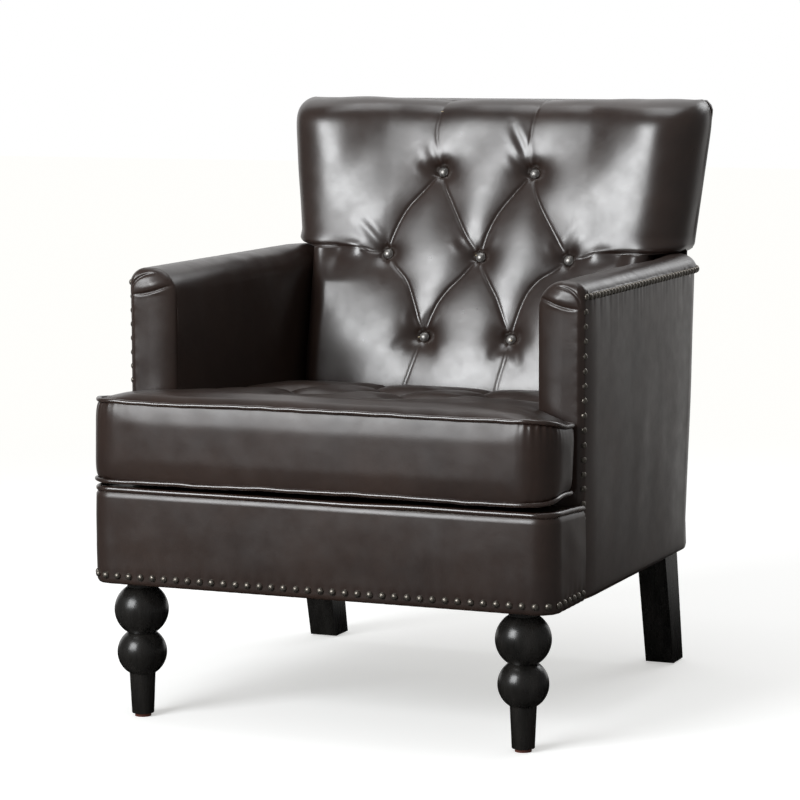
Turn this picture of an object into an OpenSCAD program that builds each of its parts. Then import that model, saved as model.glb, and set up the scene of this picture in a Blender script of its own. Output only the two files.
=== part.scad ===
// Club chair: tufted flared back, narrow straight arms, loose T-shaped seat cushion, nail trim,
// turned front legs and raked square rear legs. Millimetres. X runs to the right as seen from the
// front, Y runs to the back and Z runs up. The origin is on the floor under the middle of the chair.

/* [Overall] */
// Width over the arms and the front rail
chair_w = 692; // [660:1:740]
// Depth from the front rail to the top of the back
chair_d = 728; // [700:1:770]
// Height of the top of the back
chair_h = 857; // [835:1:900]
// Height of the underside of the frame
base_h = 195; // [180:1:210]

/* [Front rail and deck] */
// Height of the leather band round the front rail
rail_h = 129; // [118:1:134]
// Radius of the front corners in plan
rail_corner_r = 32; // [20:1:40]
// How far the front rail stands in front of the arms
ear_d = 126; // [112:1:140]
// Thickness of the padding behind the band
rail_pad_t = 8; // [5:0.5:10]
// Diameter of the welt cord on the rail
rail_welt_d = 8; // [6:0.5:9]
// Thickness of the deck padding behind the front rail
deck_pad_t = 22; // [14:1:24]
// Thickness of the deck cloth and of the deck's leather band
deck_cover_t = 1.5; // [1:0.1:2]
// Depth of the leather band of the deck
deck_band_d = 150; // [128:1:190]

/* [Arms] */
// Thickness of an arm
arm_w = 72; // [68:1:80]
// Height of the arm tops
arm_h = 628; // [610:1:640]
// Radius of the outer top edge of an arm
arm_outer_r = 24; // [18:1:28]
// Radius of the inner top edge of an arm
arm_inner_r = 38; // [30:1:42]
// Thickness of the padding inside an arm
arm_pad_t = 12; // [8:1:14]
// Thickness of the padded front of an arm
arm_front_t = 14; // [12:1:18]
// Radius of the front edges of an arm
arm_front_r = 11; // [6:1:11]
// Drop from the arm top to the upper edge of the outer side cover
side_cover_drop = 14; // [12:1:26]
// Radius of the rear corners of the body in plan
body_corner_r = 100; // [90:1:110]

/* [Back] */
// How far a wing's foot stands in from the arm's outer face
wing_foot_in = 35; // [28:1:42]
// Spread of a wing from its foot to its top
wing_spread = 25; // [15:1:34]
// Thickness of a wing where it stands on the arm
wing_low_t = 104; // [100:1:112]
// Thickness of a wing at the top
wing_top_t = 94; // [88:1:100]
// Radius of the front edges of the wings
wing_edge_r = 58; // [40:1:62]
// Radius of the roll along the top edge
top_roll_r = 36; // [26:1:38]
// Radius of the top corners seen from the front
top_corner_r = 22; // [12:1:26]
// Lean of the outside back in degrees
back_lean = 5.6; // [4:0.1:7]
// Lean of the tufted face in degrees
face_lean = 20.8; // [18:0.1:21.5]
// Height at which the tufted face starts to lean
face_bend_h = 470; // [455:1:480]
// Thickness of the back where the tufted face starts to lean
back_t = 166; // [160:1:185]
// How far the sides of the inside back curve back to the arms
crease_d = 90; // [80:1:94]
// Width of that curve at each side
crease_w = 66; // [50:1:80]
// Bottom edge of the inside back
back_low_h = 318; // [314:1:330]
// Height of the lowest row of buttons
button_low_h = 497; // [490:1:500]
// Height from one row of buttons to the next
button_pitch_h = 123; // [121:1:124]
// Distance between neighbouring buttons of a row
button_pitch_w = 150; // [130:1:156]
// Diameter of a back button
button_d = 15; // [12:0.5:18]
// Height of a button's dome
button_h = 6; // [4:0.5:7]
// Depth of the hollow round a button
tuft_dip = 26; // [18:1:28]
// Reach of that hollow
tuft_reach = 34; // [26:1:40]
// Depth of a pleat between two buttons
pleat_dip = 8; // [4:0.5:10]
// Reach of a pleat to each side
pleat_reach = 9; // [6:1:12]

/* [Seat cushion] */
// Height of the cushion from welt to welt
cushion_h = 108; // [100:1:112]
// Rise of the cushion's top above its upper welt
cushion_crown = 13; // [8:0.5:16]
// Drop of the cushion's underside below its lower welt
cushion_belly = 12.5; // [8:0.5:13.5]
// Swell of the cushion's sides
cushion_swell = 4; // [2:0.5:4.5]
// How far the cushion's ears stand in from the rail's sides
cushion_ear_in = 5; // [3:0.5:8]
// Gap between the cushion and the arms
cushion_gap = 3; // [2.8:0.1:5]
// Slope of the seat to the back in degrees
seat_slope = 3.67; // [3:0.05:4]
// Height of the cushion's middle at its front edge
cushion_mid_h = 397; // [395:1:401]
// Diameter of the cushion's welts
cushion_welt_d = 7; // [5:0.5:7]
// Radius of the cushion's front corners in plan
cushion_corner_r = 40; // [30:1:50]
// Radius of the cushion's other corners in plan
cushion_small_r = 22; // [14:1:26]
// Distance between neighbouring tufts of a row
seat_tuft_pitch_w = 166; // [150:1:172]
// Depth of a seat tuft
seat_tuft_dip = 15; // [8:1:17]
// Thickness of the cover over the foam
cushion_cover_t = 9; // [7:0.5:12]

/* [Frame] */
// Thickness of the hardwood boards
board_t = 24; // [20:1:25]
// Width of a back post seen from the front
post_w = 46; // [40:1:50]
// Thickness of a back post
post_t = 36; // [32:1:38]
// Height of the back rails
back_rail_h = 40; // [32:1:46]
// Thickness of the padding under the outside back
back_pad_t = 12; // [8:1:13]
// Thickness of the leather
leather_t = 3; // [2:0.25:3.5]
// Thickness of the dust cover
dust_t = 1; // [0.8:0.1:1.2]
// Diameter of the seat spring wire
spring_wire_d = 4; // [3:0.5:5]
// Width of a seat spring
spring_w = 46; // [36:1:56]
// Width of a webbing strap
strap_w = 50; // [38:1:60]
// Thickness of a webbing strap
strap_t = 2; // [1:0.25:2.25]

/* [Legs] */
// Distance of the front legs from the rail's sides
front_leg_side = 58.5; // [54:0.5:66]
// Distance of the front legs from the rail's front
front_leg_inset = 44.5; // [42:0.5:50]
// Diameter of the upper ball
ball_d = 76.6; // [68:0.2:80]
// Height of the upper ball's middle
ball_z = 153.5; // [150:0.5:154]
// Diameter of the lower ball
small_ball_d = 70; // [62:0.5:72]
// Height of the lower ball's middle
small_ball_z = 92.3; // [88:0.1:95]
// Height of the top of the tapered foot
foot_top_z = 64.5; // [60:0.5:68]
// Diameter of the foot at its top
foot_top_d = 36.8; // [32:0.2:40]
// Diameter of the foot at its bottom
foot_low_d = 31.4; // [26:0.2:32]
// Diameter of a front glide
glide_d = 23; // [18:1:25]
// Thickness of a front glide
glide_t = 5; // [3:0.5:6]
// Diameter of the leg collar
collar_d = 40; // [34:1:44]
// Diameter of the hanger bolts
bolt_d = 8; // [6:0.5:9]
// Length of the hanger bolts
bolt_l = 84; // [76:1:88]
// Distance of the rear legs from the body's sides
rear_leg_side = 42.5; // [40:0.5:46]
// Width of a rear leg
rear_leg_w = 44.5; // [40:0.5:46]
// Depth of a rear leg at its foot
rear_leg_foot_d = 46; // [40:1:50]
// Depth of a rear leg at its top
rear_leg_top_d = 58; // [50:1:62]
// How far a rear leg's foot stands behind its top, at the front edge
rear_leg_rake = 50; // [40:1:56]
// Thickness of a rear glide
rear_glide_t = 2; // [1:0.5:3]
// Diameter of a rear glide
rear_glide_d = 20; // [16:1:24]

/* [Nails] */
// Diameter of a nail head
nail_d = 9.5; // [8:0.5:10]
// Height of a nail head
nail_h = 3; // [2.5:0.25:3.5]
// Spacing of the nails on the rail
rail_nail_pitch = 18; // [16:0.5:22]
// Height of the rail's nails above the frame's underside
rail_nail_up = 12; // [9:0.5:14]
// Spacing of the nails down the arm fronts
front_nail_pitch = 19.5; // [17:0.5:24]
// Spacing of the nails along the arm tops
top_nail_pitch = 13; // [11:0.5:16]
// Distance of the nails from the edges of the side cover
side_nail_inset = 7; // [5.5:0.5:9]

/* [Hidden] */
$fn = 48;

// Running gap between neighbouring pieces
clear = 0.3;
// Overrun of a cut past the face that it opens
over = 1;
// Difference below which two heights count as the same
tie = over / 1000;
hw = chair_w / 2;
front_y = -chair_d / 2;
back_y = chair_d / 2;
arm_y = front_y + ear_d;
arm_in = hw - arm_w;
frame_z = base_h + dust_t;
rail_top_z = base_h + rail_h;
seat_fall = tan(seat_slope);

// Rear face of the outside back at a height
function rear_y(z) = back_y - tan(back_lean) * (chair_h - z);

// Depth from the outside back to the rear and to the front of the frame
frame_rear = leather_t + back_pad_t;
frame_front = frame_rear + post_t;

// Point where the rear corner's arc starts, at a height
function corner_y(z) = rear_y(z) - body_corner_r;
corner_x = hw - body_corner_r;

// Depth of the seat from the front rail to the tufted face
seat_d = rear_y(face_bend_h) - back_t - front_y;

// Top of the deck at a distance from the front
deck_under_mid = cushion_h / 2 + cushion_belly + 2 * clear;
function deck_z(y) = cushion_mid_h - deck_under_mid / cos(seat_slope) - seat_fall * (y - front_y);

function smooth(t) = let (c = min(1, max(0, t))) c * c * (3 - 2 * c);
function total(v, i = 0) = i < len(v) ? v[i] + total(v, i + 1) : 0;

// Distance of a point from a segment
function seg_dist(p, a, b) = let (
    ab = b - a,
    t = min(1, max(0, ((p - a) * ab) / (ab * ab))))
    norm(p - a - t * ab);

module both_sides() {
    children();
    mirror([1, 0, 0]) children();
}

// Extrudes an outline drawn in Y and Z along X, between two places
module along_x(x0, x1) {
    translate([x0, 0, 0]) rotate([90, 0, 90]) linear_extrude(x1 - x0) children();
}

// Board or rail that follows the lean of the back, by its distance in front of the outside back
module leaning(x0, x1, z0, z1, near, far) {
    along_x(x0, x1) polygon([[rear_y(z0) - far, z0], [rear_y(z0) - near, z0],
        [rear_y(z1) - near, z1], [rear_y(z1) - far, z1]]);
}

// Triangles of a flat or bent face, from its first point
function fan(f) = [for (i = [1 : len(f) - 2]) [f[0], f[i], f[i + 1]]];
function flip(f) = [for (i = [len(f) - 1 : -1 : 0]) f[i]];
function fans(faces) = [for (f = faces) each fan(f)];

// Joins rings of points into one closed solid with flat ends
module loft(rings) {
    n = len(rings[0]);
    m = len(rings);
    polyhedron([for (r = rings) each r], concat(
        [for (i = [0 : m - 2]) for (j = [0 : n - 1])
            let (a = i * n + j, b = i * n + (j + 1) % n) each [[a, a + n, b], [b, a + n, b + n]]],
        [[for (j = [0 : n - 1]) j]],
        [[for (j = [0 : n - 1]) m * n - 1 - j]]), convexity = 8);
}

// Points round the rim of a grid: along the low row, up, back along the top row and down
function rim(n, m) = concat(
    [for (j = [0 : n - 1]) j],
    [for (i = [1 : m - 1]) i * n + n - 1],
    [for (j = [n - 2 : -1 : 0]) (m - 1) * n + j],
    [for (i = [m - 2 : -1 : 1]) i * n]);

// Hardwood frame

wood = "burlywood";
front_rail_y = front_y + leather_t + rail_pad_t + clear;
rail_inner_x = hw - leather_t - rail_pad_t - clear;
rail_back_y = front_rail_y + board_t;
return_top_z = deck_z(arm_y) - deck_cover_t - arm_front_r / 2;
front_top_z = min(rail_top_z - leather_t, deck_z(front_y) - deck_cover_t - leather_t);

// Outline of the front rail in plan, with its front corners cut off, back to a place
module rail_board_plan(end_y) {
    x = rail_inner_x;
    y = front_rail_y;
    cut = board_t / 2;
    polygon([[-x, y + cut], [-x + cut, y], [x - cut, y], [x, y + cut], [x, end_y], [-x, end_y]]);
}

module front_rail() {
    color(wood) translate([0, 0, frame_z]) linear_extrude(front_top_z - frame_z) rail_board_plan(rail_back_y);
}

module rail_return(top = return_top_z) {
    color(wood) translate([rail_inner_x - board_t, rail_back_y + clear, frame_z])
        cube([board_t, arm_y + arm_front_t - rail_back_y - 2 * clear, top - frame_z]);
}

post_front_y = arm_y + arm_front_t;
side_in_x = hw - leather_t - clear - board_t;
arm_board_z = arm_h - arm_inner_r - board_t;
arm_post_x = arm_in + leather_t + arm_pad_t;

module side_rail() {
    y0 = post_front_y + board_t + clear;
    color(wood) translate([side_in_x, y0, frame_z])
        cube([board_t, corner_y(frame_z) - y0 - clear, front_top_z - frame_z]);
}

module arm_post() {
    color(wood) translate([arm_post_x, post_front_y, frame_z])
        cube([hw - leather_t - clear - arm_post_x, board_t, arm_board_z - clear - frame_z]);
}

arm_board_cut_shares = [[0, 1], [0.4, 0.85], [0.75, 0.45], [1, 0]];
module arm_board() {
    out_x = hw - leather_t - clear;
    post_x = corner_x + post_w + clear;
    start_y = corner_y(arm_board_z) - leather_t;
    end_r = (body_corner_r - leather_t - clear) * 0.86;
    color(wood) translate([0, 0, arm_board_z]) linear_extrude(board_t) polygon(concat(
        [[arm_post_x, start_y], [arm_post_x, post_front_y], [out_x, post_front_y], [out_x, start_y]],
        [for (a = [15 : 15 : 45]) [corner_x + end_r * cos(a) / cos(15), start_y + end_r * sin(a)]],
        [[post_x, start_y + end_r * sin(56)], [post_x, start_y]]));
}

slat_z = back_low_h + board_t;
module arm_slat() {
    y0 = post_front_y + board_t + clear;
    color(wood) translate([arm_post_x, y0, slat_z])
        cube([board_t / 2, rear_y(slat_z) - frame_front - y0 - clear, back_rail_h]);
}

post_top_z = chair_h - top_corner_r + over;
module back_post() {
    color(wood) leaning(corner_x, corner_x + post_w, frame_z, post_top_z, frame_rear + clear, frame_front);
}

module back_rail(z0, z1) {
    color(wood) leaning(-corner_x + clear, corner_x - clear, z0, z1, frame_rear + clear, frame_front);
}

module back_top_rail() back_rail(post_top_z - back_rail_h, post_top_z);
module back_middle_rail() back_rail(arm_h - back_rail_h, arm_h);
module back_lower_rail() back_rail(slat_z, slat_z + back_rail_h);

module rear_rail() {
    color(wood) leaning(-corner_x + clear, corner_x - clear, frame_z, front_top_z,
        frame_rear + clear, frame_rear + board_t);
}

block_w = 2 * board_t;
front_leg_x = hw - front_leg_side;
front_leg_y = front_y + front_leg_inset;
bolt_low_z = ball_z - bolt_d;
rear_leg_x = hw - rear_leg_side - rear_leg_w;
rear_leg_mid_x = rear_leg_x + rear_leg_w / 2;
rear_leg_top_y = rear_y(frame_z) - leather_t - rear_leg_top_d;
rear_bolt_x = corner_x + post_w / 2;
rear_bolt_y = rear_y(frame_z) - frame_rear - post_t / 2;
module corner_blocks() {
    inner = rail_inner_x - board_t - clear;
    color(wood) both_sides() {
        difference() {
            translate([inner - block_w, rail_back_y + clear, frame_z])
                cube([block_w, block_w, block_w]);
            translate([front_leg_x, front_leg_y, base_h]) cylinder(d = bolt_d + 2 * clear, h = chair_h);
        }
        translate([0, 0, frame_z]) linear_extrude(block_w) polygon([
            [corner_x + post_w + clear, corner_y(frame_z)],
            [hw - leather_t - 2 * clear - leather_t, corner_y(frame_z)],
            [corner_x + body_corner_r * 0.86, corner_y(frame_z) + body_corner_r * 0.26],
            [corner_x + body_corner_r * 0.72, corner_y(frame_z) + body_corner_r * 0.55],
            [corner_x + post_w + clear, corner_y(frame_z) + body_corner_r * 0.74]]);
    }
}

// Seat springs: wire bent to and fro, from the front rail to the rear rail

spring_count = 5;
spring_bends = 8;
spring_pitch_w = 2 * corner_x / spring_count;
spring_z0 = deck_z(rail_back_y) - deck_cover_t - deck_pad_t - 1.5 * spring_wire_d;
spring_start_y = rail_back_y + spring_wire_d;
spring_end_y = rear_y(spring_z0) - frame_rear - board_t - spring_wire_d - board_t / 2;
spring_ring_shares = [[1, 0], [0, 1], [-1, 0], [0, -1]];

module seat_springs() {
    run = (spring_end_y - spring_start_y) / spring_bends;
    path = [for (i = [0 : spring_bends]) each [
        [(i % 2 == 0 ? -1 : 1) * spring_w / 2, spring_start_y + i * run - (i == 0 ? 0 : run / 3)],
        [(i % 2 == 0 ? -1 : 1) * spring_w / 2, spring_start_y + i * run + (i == spring_bends ? 0 : run / 3)]]];
    color("dimgray") for (k = [0 : spring_count - 1])
        loft([for (i = [0 : len(path) - 1]) let (
            p = path[i],
            q = path[max(0, i - 1)],
            r = path[min(len(path) - 1, i + 1)],
            d = (r - q) / norm(r - q),
            x = (k - (spring_count - 1) / 2) * spring_pitch_w + p[0])
            [for (s = spring_ring_shares) [
                x + s[0] * d[1] * spring_wire_d / 2,
                p[1] - s[0] * d[0] * spring_wire_d / 2,
                spring_z0 - seat_fall * (p[1] - rail_back_y) - s[1] * spring_wire_d / 2]]]);
}

clip_w = spring_w / 2;
clip_t = spring_wire_d / 3;

// Clip: a plate on the rail and a lip over the wire, at the middle of the wire
module clip(x, y0, y1, plate_y, z) {
    lip_z = z + spring_wire_d / 2 + clear;
    translate([x, y0, lip_z]) cube([clip_w, y1 - y0, clip_t]);
    translate([x, plate_y, z - clip_w / 2]) cube([clip_w, clip_t, lip_z + clip_t - z + clip_w / 2]);
}

module spring_clips() {
    rear_z = spring_z0 - seat_fall * (spring_end_y - rail_back_y);
    rear_wall = rear_y(rear_z - clip_w / 2) - frame_rear - board_t - clear;
    color("silver") for (k = [0 : spring_count - 1]) {
        x = (k - (spring_count - 1) / 2) * spring_pitch_w - spring_w / 2 - clip_w / 2;
        clip(x, rail_back_y + clear, spring_start_y + spring_wire_d, rail_back_y + clear, spring_z0);
        clip(x, spring_end_y - spring_wire_d, rear_wall, rear_wall - clip_t, rear_z);
    }
}

// Deck under the cushion

deck_stem_x = arm_in - clear;
deck_end_y = front_y + seat_d - 2 * clear;
deck_front_y = front_rail_y;
module deck_layer(x, y0, y1, top_down, bottom_down) {
    along_x(-x, x) polygon([[y0, deck_z(y0) - bottom_down], [y0, deck_z(y0) - top_down],
        [y1, deck_z(y1) - top_down], [y1, deck_z(y1) - bottom_down]]);
}

module deck_pad() {
    top = deck_cover_t + clear;
    wide = rail_inner_x - board_t - clear;
    color("beige") {
        intersection() {
            along_x(-rail_inner_x, rail_inner_x) polygon([
                [deck_front_y, front_top_z + clear], [deck_front_y, deck_z(deck_front_y) - top],
                [arm_y - clear, deck_z(arm_y) - top], [arm_y - clear, return_top_z + clear],
                [rail_back_y + clear, return_top_z + clear], [rail_back_y + clear, front_top_z + clear]]);
            linear_extrude(chair_h) rail_board_plan(arm_y);
        }
        deck_layer(wide, rail_back_y + clear, arm_y - clear, top, deck_cover_t + deck_pad_t);
        deck_layer(deck_stem_x - leather_t, arm_y - 2 * clear, deck_end_y, top, deck_cover_t + deck_pad_t);
    }
}

module deck_band() {
    color("#33241f") {
        deck_layer(rail_inner_x - rail_welt_d / 2, deck_front_y + rail_welt_d / 2, arm_y - clear,
            0, deck_cover_t);
        deck_layer(deck_stem_x - leather_t, arm_y - 2 * clear, front_y + deck_band_d, 0, deck_cover_t);
    }
}

module deck_cloth() {
    color("#1d1c1b") deck_layer(deck_stem_x - leather_t, front_y + deck_band_d + clear, deck_end_y,
        0, deck_cover_t);
}

// Front rail: padding, leather band, welt

// Line of the rail in plan, drawn in by a distance: from the left arm round to the right arm
rail_turn_y = front_y + rail_corner_r;
rail_end_y = arm_y - clear;
rail_steps = 8;
function rail_line(inset) = let (r = rail_corner_r - inset, x = hw - rail_corner_r)
    concat([[-x - r, rail_end_y]],
        [for (i = [0 : rail_steps]) let (a = i * 90 / rail_steps) [-x - r * cos(a), rail_turn_y - r * sin(a)]],
        [for (i = [rail_steps : -1 : 0]) let (a = i * 90 / rail_steps) [x + r * cos(a), rail_turn_y - r * sin(a)]],
        [[x + r, rail_end_y]]);

// How far the rail's top edge has fallen at a place: behind the corners it falls with the seat
function rail_fall(y) = seat_fall * max(0, y - rail_turn_y);
module above_rail(z) {
    end = arm_y + over;
    along_x(-hw - over, hw + over) polygon([[rail_turn_y, z], [end, z - rail_fall(end)],
        [end, z + chair_h], [rail_turn_y, z + chair_h]]);
}

module rail_padding() {
    outer = rail_line(leather_t + clear / 2);
    x = rail_inner_x + clear / 2;
    y = front_rail_y - clear / 2;
    cut = board_t / 2;
    color("ivory") difference() {
        translate([0, 0, frame_z]) linear_extrude(front_top_z - frame_z) polygon(concat(outer,
            [[x, rail_end_y], [x, y + cut], [x - cut, y], [-x + cut, y], [-x, y + cut], [-x, rail_end_y]]));
        above_rail(front_top_z);
    }
}

module rail_cover() {
    color("#3b2b27") difference() {
        translate([0, 0, base_h]) linear_extrude(rail_h)
            polygon(concat(rail_line(0), flip(rail_line(leather_t))));
        above_rail(rail_top_z);
    }
}

module rail_welt() {
    z = rail_top_z + rail_welt_d / 2 + clear / 3;
    line = rail_line(rail_welt_d / 2);
    sides = 8;
    color("#2f221f") loft([for (i = [0 : len(line) - 1]) let (
        run = line[min(len(line) - 1, i + 1)] - line[max(0, i - 1)],
        d = run / norm(run))
        [for (j = [0 : sides - 1]) let (a = -360 * j / sides, s = cos(a) * rail_welt_d / 2)
            [line[i][0] + s * d[1], line[i][1] - s * d[0],
                z - rail_fall(line[i][1]) + sin(a) * rail_welt_d / 2]]]);
}

// Arms

// Section of an arm in X and Z, drawn in by a distance, down to a height
module arm_section(inset, low) {
    ro = arm_outer_r;
    ri = arm_inner_r;
    translate([arm_in + inset, low]) square([arm_w - 2 * inset, arm_h - ri - low]);
    translate([arm_in + ri, low]) square([hw - ro - arm_in - ri, arm_h - inset - low]);
    translate([arm_in + ri, low]) square([arm_w - ri - inset, arm_h - ro - low]);
    intersection() {
        translate([arm_in + ri, arm_h - ri]) circle(ri - inset);
        translate([arm_in, low]) square([ri + over, arm_h - low]);
    }
    translate([hw - ro, arm_h - ro]) circle(ro - inset);
}

// Extrudes a section drawn in X and Z along Y, between two places
module along_y(y0, y1) {
    translate([0, y1, 0]) rotate([90, 0, 0]) linear_extrude(y1 - y0) children();
}

arm_low_z = deck_z(arm_y) + 2 * leather_t;
arm_end_y = corner_y(arm_h) - clear;
side_top_z = arm_h - side_cover_drop;

module arm_skin() {
    difference() {
        arm_section(0, arm_low_z);
        arm_section(leather_t, arm_low_z - over);
        translate([hw - leather_t - clear, 0]) square([2 * leather_t, side_top_z + clear]);
    }
}

module arm_cover() {
    color("#3a2a26") {
        along_y(arm_y + arm_front_t + clear, arm_end_y) arm_skin();
        difference() {
            intersection() {
                translate([corner_x, arm_end_y, 0]) rotate_extrude(angle = 90)
                    translate([-corner_x, 0]) intersection() {
                        arm_skin();
                        translate([corner_x, side_top_z + clear]) square([chair_w, chair_h]);
                    }
                translate([corner_x + post_w + clear, 0, 0]) cube([chair_w, chair_d, chair_h]);
            }
            // Room for the underside of the wing
            along_y(arm_end_y - over, back_y) polygon([
                [inside_half, button_z[1] - 2 * clear], [wing_foot_x, wing_low_z - 2 * clear],
                [wing_foot_x, chair_h], [inside_half, chair_h]]);
        }
    }
}

module arm_pad() {
    fill = leather_t + clear;
    color("ivory") along_y(post_front_y + clear, corner_y(arm_board_z) - leather_t) difference() {
        arm_section(fill, arm_low_z);
        // Room for the post, the board and the slat
        translate([arm_post_x - clear, 0]) square([chair_w, arm_board_z + board_t + clear]);
    }
}

module arm_front() {
    low = deck_z(front_y) + 2 * leather_t;
    color("#3a2a26") difference() {
        hull() {
            along_y(arm_y + arm_front_r, arm_y + arm_front_t - clear) arm_section(0, low);
            along_y(arm_y + arm_front_r * 0.3, arm_y + arm_front_r) arm_section(arm_front_r * 0.3, low);
            along_y(arm_y, arm_y + arm_front_r * 0.3) arm_section(arm_front_r, low);
        }
        translate([hw - leather_t - clear, arm_y - over, 0])
            cube([chair_w, arm_front_t + 2 * over, side_top_z + clear]);
    }
}

// Outer side cover: flat along the arm, then round the rear corner, which leans with the back
corner_steps = 10;
module side_cover() {
    function at(a, r, z) = [corner_x + r * cos(a), corner_y(z) + r * sin(a), z];
    function section(a) = [at(a, body_corner_r, base_h), at(a, body_corner_r - leather_t, base_h),
        at(a, body_corner_r - leather_t, side_top_z), at(a, body_corner_r, side_top_z)];
    front = [[hw, arm_y, base_h], [hw - leather_t, arm_y, base_h], [hw - leather_t, arm_y, side_top_z],
        [hw, arm_y, side_top_z]];
    color("#4a423c") loft(concat([front], [for (i = [0 : corner_steps]) section(i * 90 / corner_steps)]));
}

// Inside back

button_z = [button_low_h, button_low_h + button_pitch_h, button_low_h + 2 * button_pitch_h];
half_pitch = button_pitch_w / 2;
back_buttons_at = [
    [-half_pitch, button_z[0]], [half_pitch, button_z[0]],
    [-button_pitch_w, button_z[1]], [0, button_z[1]], [button_pitch_w, button_z[1]],
    [-half_pitch, button_z[2]], [half_pitch, button_z[2]]];
wing_low_z = arm_h + over;
wing_foot_x = hw - wing_foot_in;
inside_half = arm_in - 2 * clear;

function wing_half(z) = let (
    t = (z - wing_low_z) / (chair_h - wing_low_z),
    flare = wing_foot_x + wing_spread * t,
    up = max(0, z - chair_h + top_corner_r))
    flare - top_corner_r + sqrt(max(0, pow(top_corner_r, 2) - up * up));
function back_half(z) = z < wing_low_z - over / 2 ? inside_half : wing_half(z);
function face_y(z) = front_y + seat_d + tan(face_lean) * max(0, z - face_bend_h);
function wing_y(z) = rear_y(z)
    - (wing_low_t + (wing_top_t - wing_low_t) * (z - wing_low_z) / (chair_h - wing_low_z));

// Pleats from button to button, and from the outer buttons to the edges
back_pleats = concat(
    [for (a = back_buttons_at) for (b = back_buttons_at)
        if (b[1] > a[1] && abs(b[0] - a[0]) < button_pitch_w && b[1] - a[1] < 1.5 * button_pitch_h) [a, b]],
    [for (s = [-1, 1]) [[s * half_pitch, button_z[2]], [s * half_pitch, chair_h]]],
    [for (s = [-1, 1]) [[s * half_pitch, button_z[0]], [s * half_pitch, back_low_h]]],
    [for (s = [-1, 1]) [[s * button_pitch_w, button_z[1]], [s * chair_w, button_z[1]]]]);

// How deep the padding is drawn in at a point, by the hollows and the pleats
function drawn_in(p, spots, folds, dip, reach, fold_dip, fold_reach) =
    let (
        near = min([for (s = spots) norm(p - s)]),
        side = min([for (f = folds) seg_dist(p, f[0], f[1])]))
    max(dip * exp(-pow(near / reach, 2) * 1.2), 0) * 0.62 + dip * 0.38 * exp(-near / (reach / 2))
        + fold_dip * exp(-side / fold_reach) * (1 - exp(-near / reach));

function plain_back_y(x, z) = let (
    c = face_y(z),
    h = back_half(z),
    a = abs(x),
    wing = z > wing_low_z - over / 2,
    e = wing ? c + (wing_y(z) - c) * smooth((a - button_pitch_w) / (h - wing_edge_r - button_pitch_w)) : c,
    w = wing ? wing_edge_r : crease_w,
    d = wing ? wing_edge_r : front_y + seat_d + crease_d - c,
    t = max(0, (a - h + w) / w))
    e + d * (1 - sqrt(max(0, 1 - t * t)));

cell_shares = [0, 0.12, 0.35, 0.65, 0.88];
outer_shares = [0.25, 0.45, 0.65, 0.82, 0.94, 1];
low_row_shares = [0, 0.4, 0.7, 0.88];
top_row_shares = [0.25, 0.6];
roll_angle_shares = [0, 1 / 3, 2 / 3, 1];

back_cols = concat(
    [for (i = [len(outer_shares) - 1 : -1 : 0]) [-1, outer_shares[i]]],
    [for (c = [-2 : 1]) for (s = cell_shares) [0, (c + s) * half_pitch]],
    [[0, 2 * half_pitch]],
    [for (s = outer_shares) [1, s]]);
function back_col_x(c, z) = c[0] == 0 ? c[1]
    : c[0] * (button_pitch_w + c[1] * (back_half(z) - button_pitch_w));

roll_z = chair_h - top_roll_r;
back_rows = concat(
    [for (s = low_row_shares) [back_low_h + s * (button_low_h - back_low_h), 0]],
    [for (s = cell_shares) [button_z[0] + s * button_pitch_h, 0]],
    [[button_z[1], 0], [wing_low_z, 0]],
    [for (i = [1 : len(cell_shares) - 1]) [max(wing_low_z + over, button_z[1] + cell_shares[i] * button_pitch_h), 0]],
    [[button_z[2], 0]],
    [for (s = top_row_shares) [button_z[2] + s * (roll_z - button_z[2]), 0]],
    [for (s = roll_angle_shares) [roll_z + top_roll_r * sin(90 * s), top_roll_r * (1 - cos(90 * s))]]);

function back_point(row, col) = let (
    z = row[0],
    x = back_col_x(col, z),
    dip = drawn_in([x, z], back_buttons_at, back_pleats, tuft_dip, tuft_reach, pleat_dip, pleat_reach))
    [x, plain_back_y(x, min(z, roll_z)) + row[1] + dip * (row[1] > 0 ? 1 - row[1] / top_roll_r : 1), z];

// The inside back is one closed skin: the tufted face, its rim, a room for the frame and the
// webbing behind it, and a narrow square hole from each button to that room

web_room = strap_t + 2 * clear;
tie_d = strap_t;
tie_room = (tie_d / 2 + clear) * sqrt(2);
cavity_half = corner_x + post_w + clear;
cavity_top = post_top_z + clear;
function cavity_y(z) = rear_y(z) - frame_front - web_room;
function skirt_y(z) = rear_y(z) - leather_t - clear;

side_n = len(outer_shares);
cell_n = len(cell_shares);
low_n = len(low_row_shares);
col_cuts = concat([0], [for (i = [0 : 4]) side_n + i * cell_n], [2 * side_n + 4 * cell_n]);
row_cuts = [0, low_n, low_n + cell_n, low_n + 2 * cell_n + 1];
hole_cells = [[2, 1], [4, 1], [1, 2], [3, 2], [5, 2], [2, 3], [4, 3]];

// A corner of a cell, which a hole cuts off between two of the hole's four points
function corner(v, k, holes, base) = let (s = search(v, holes))
    len(s) == 0 ? [v] : [base + 4 * s[0] + k, base + 4 * s[0] + (k + 1) % 4];
function hole_points(x, z) = [[x + tie_room, z], [x, z + tie_room], [x - tie_room, z], [x, z - tie_room]];

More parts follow.
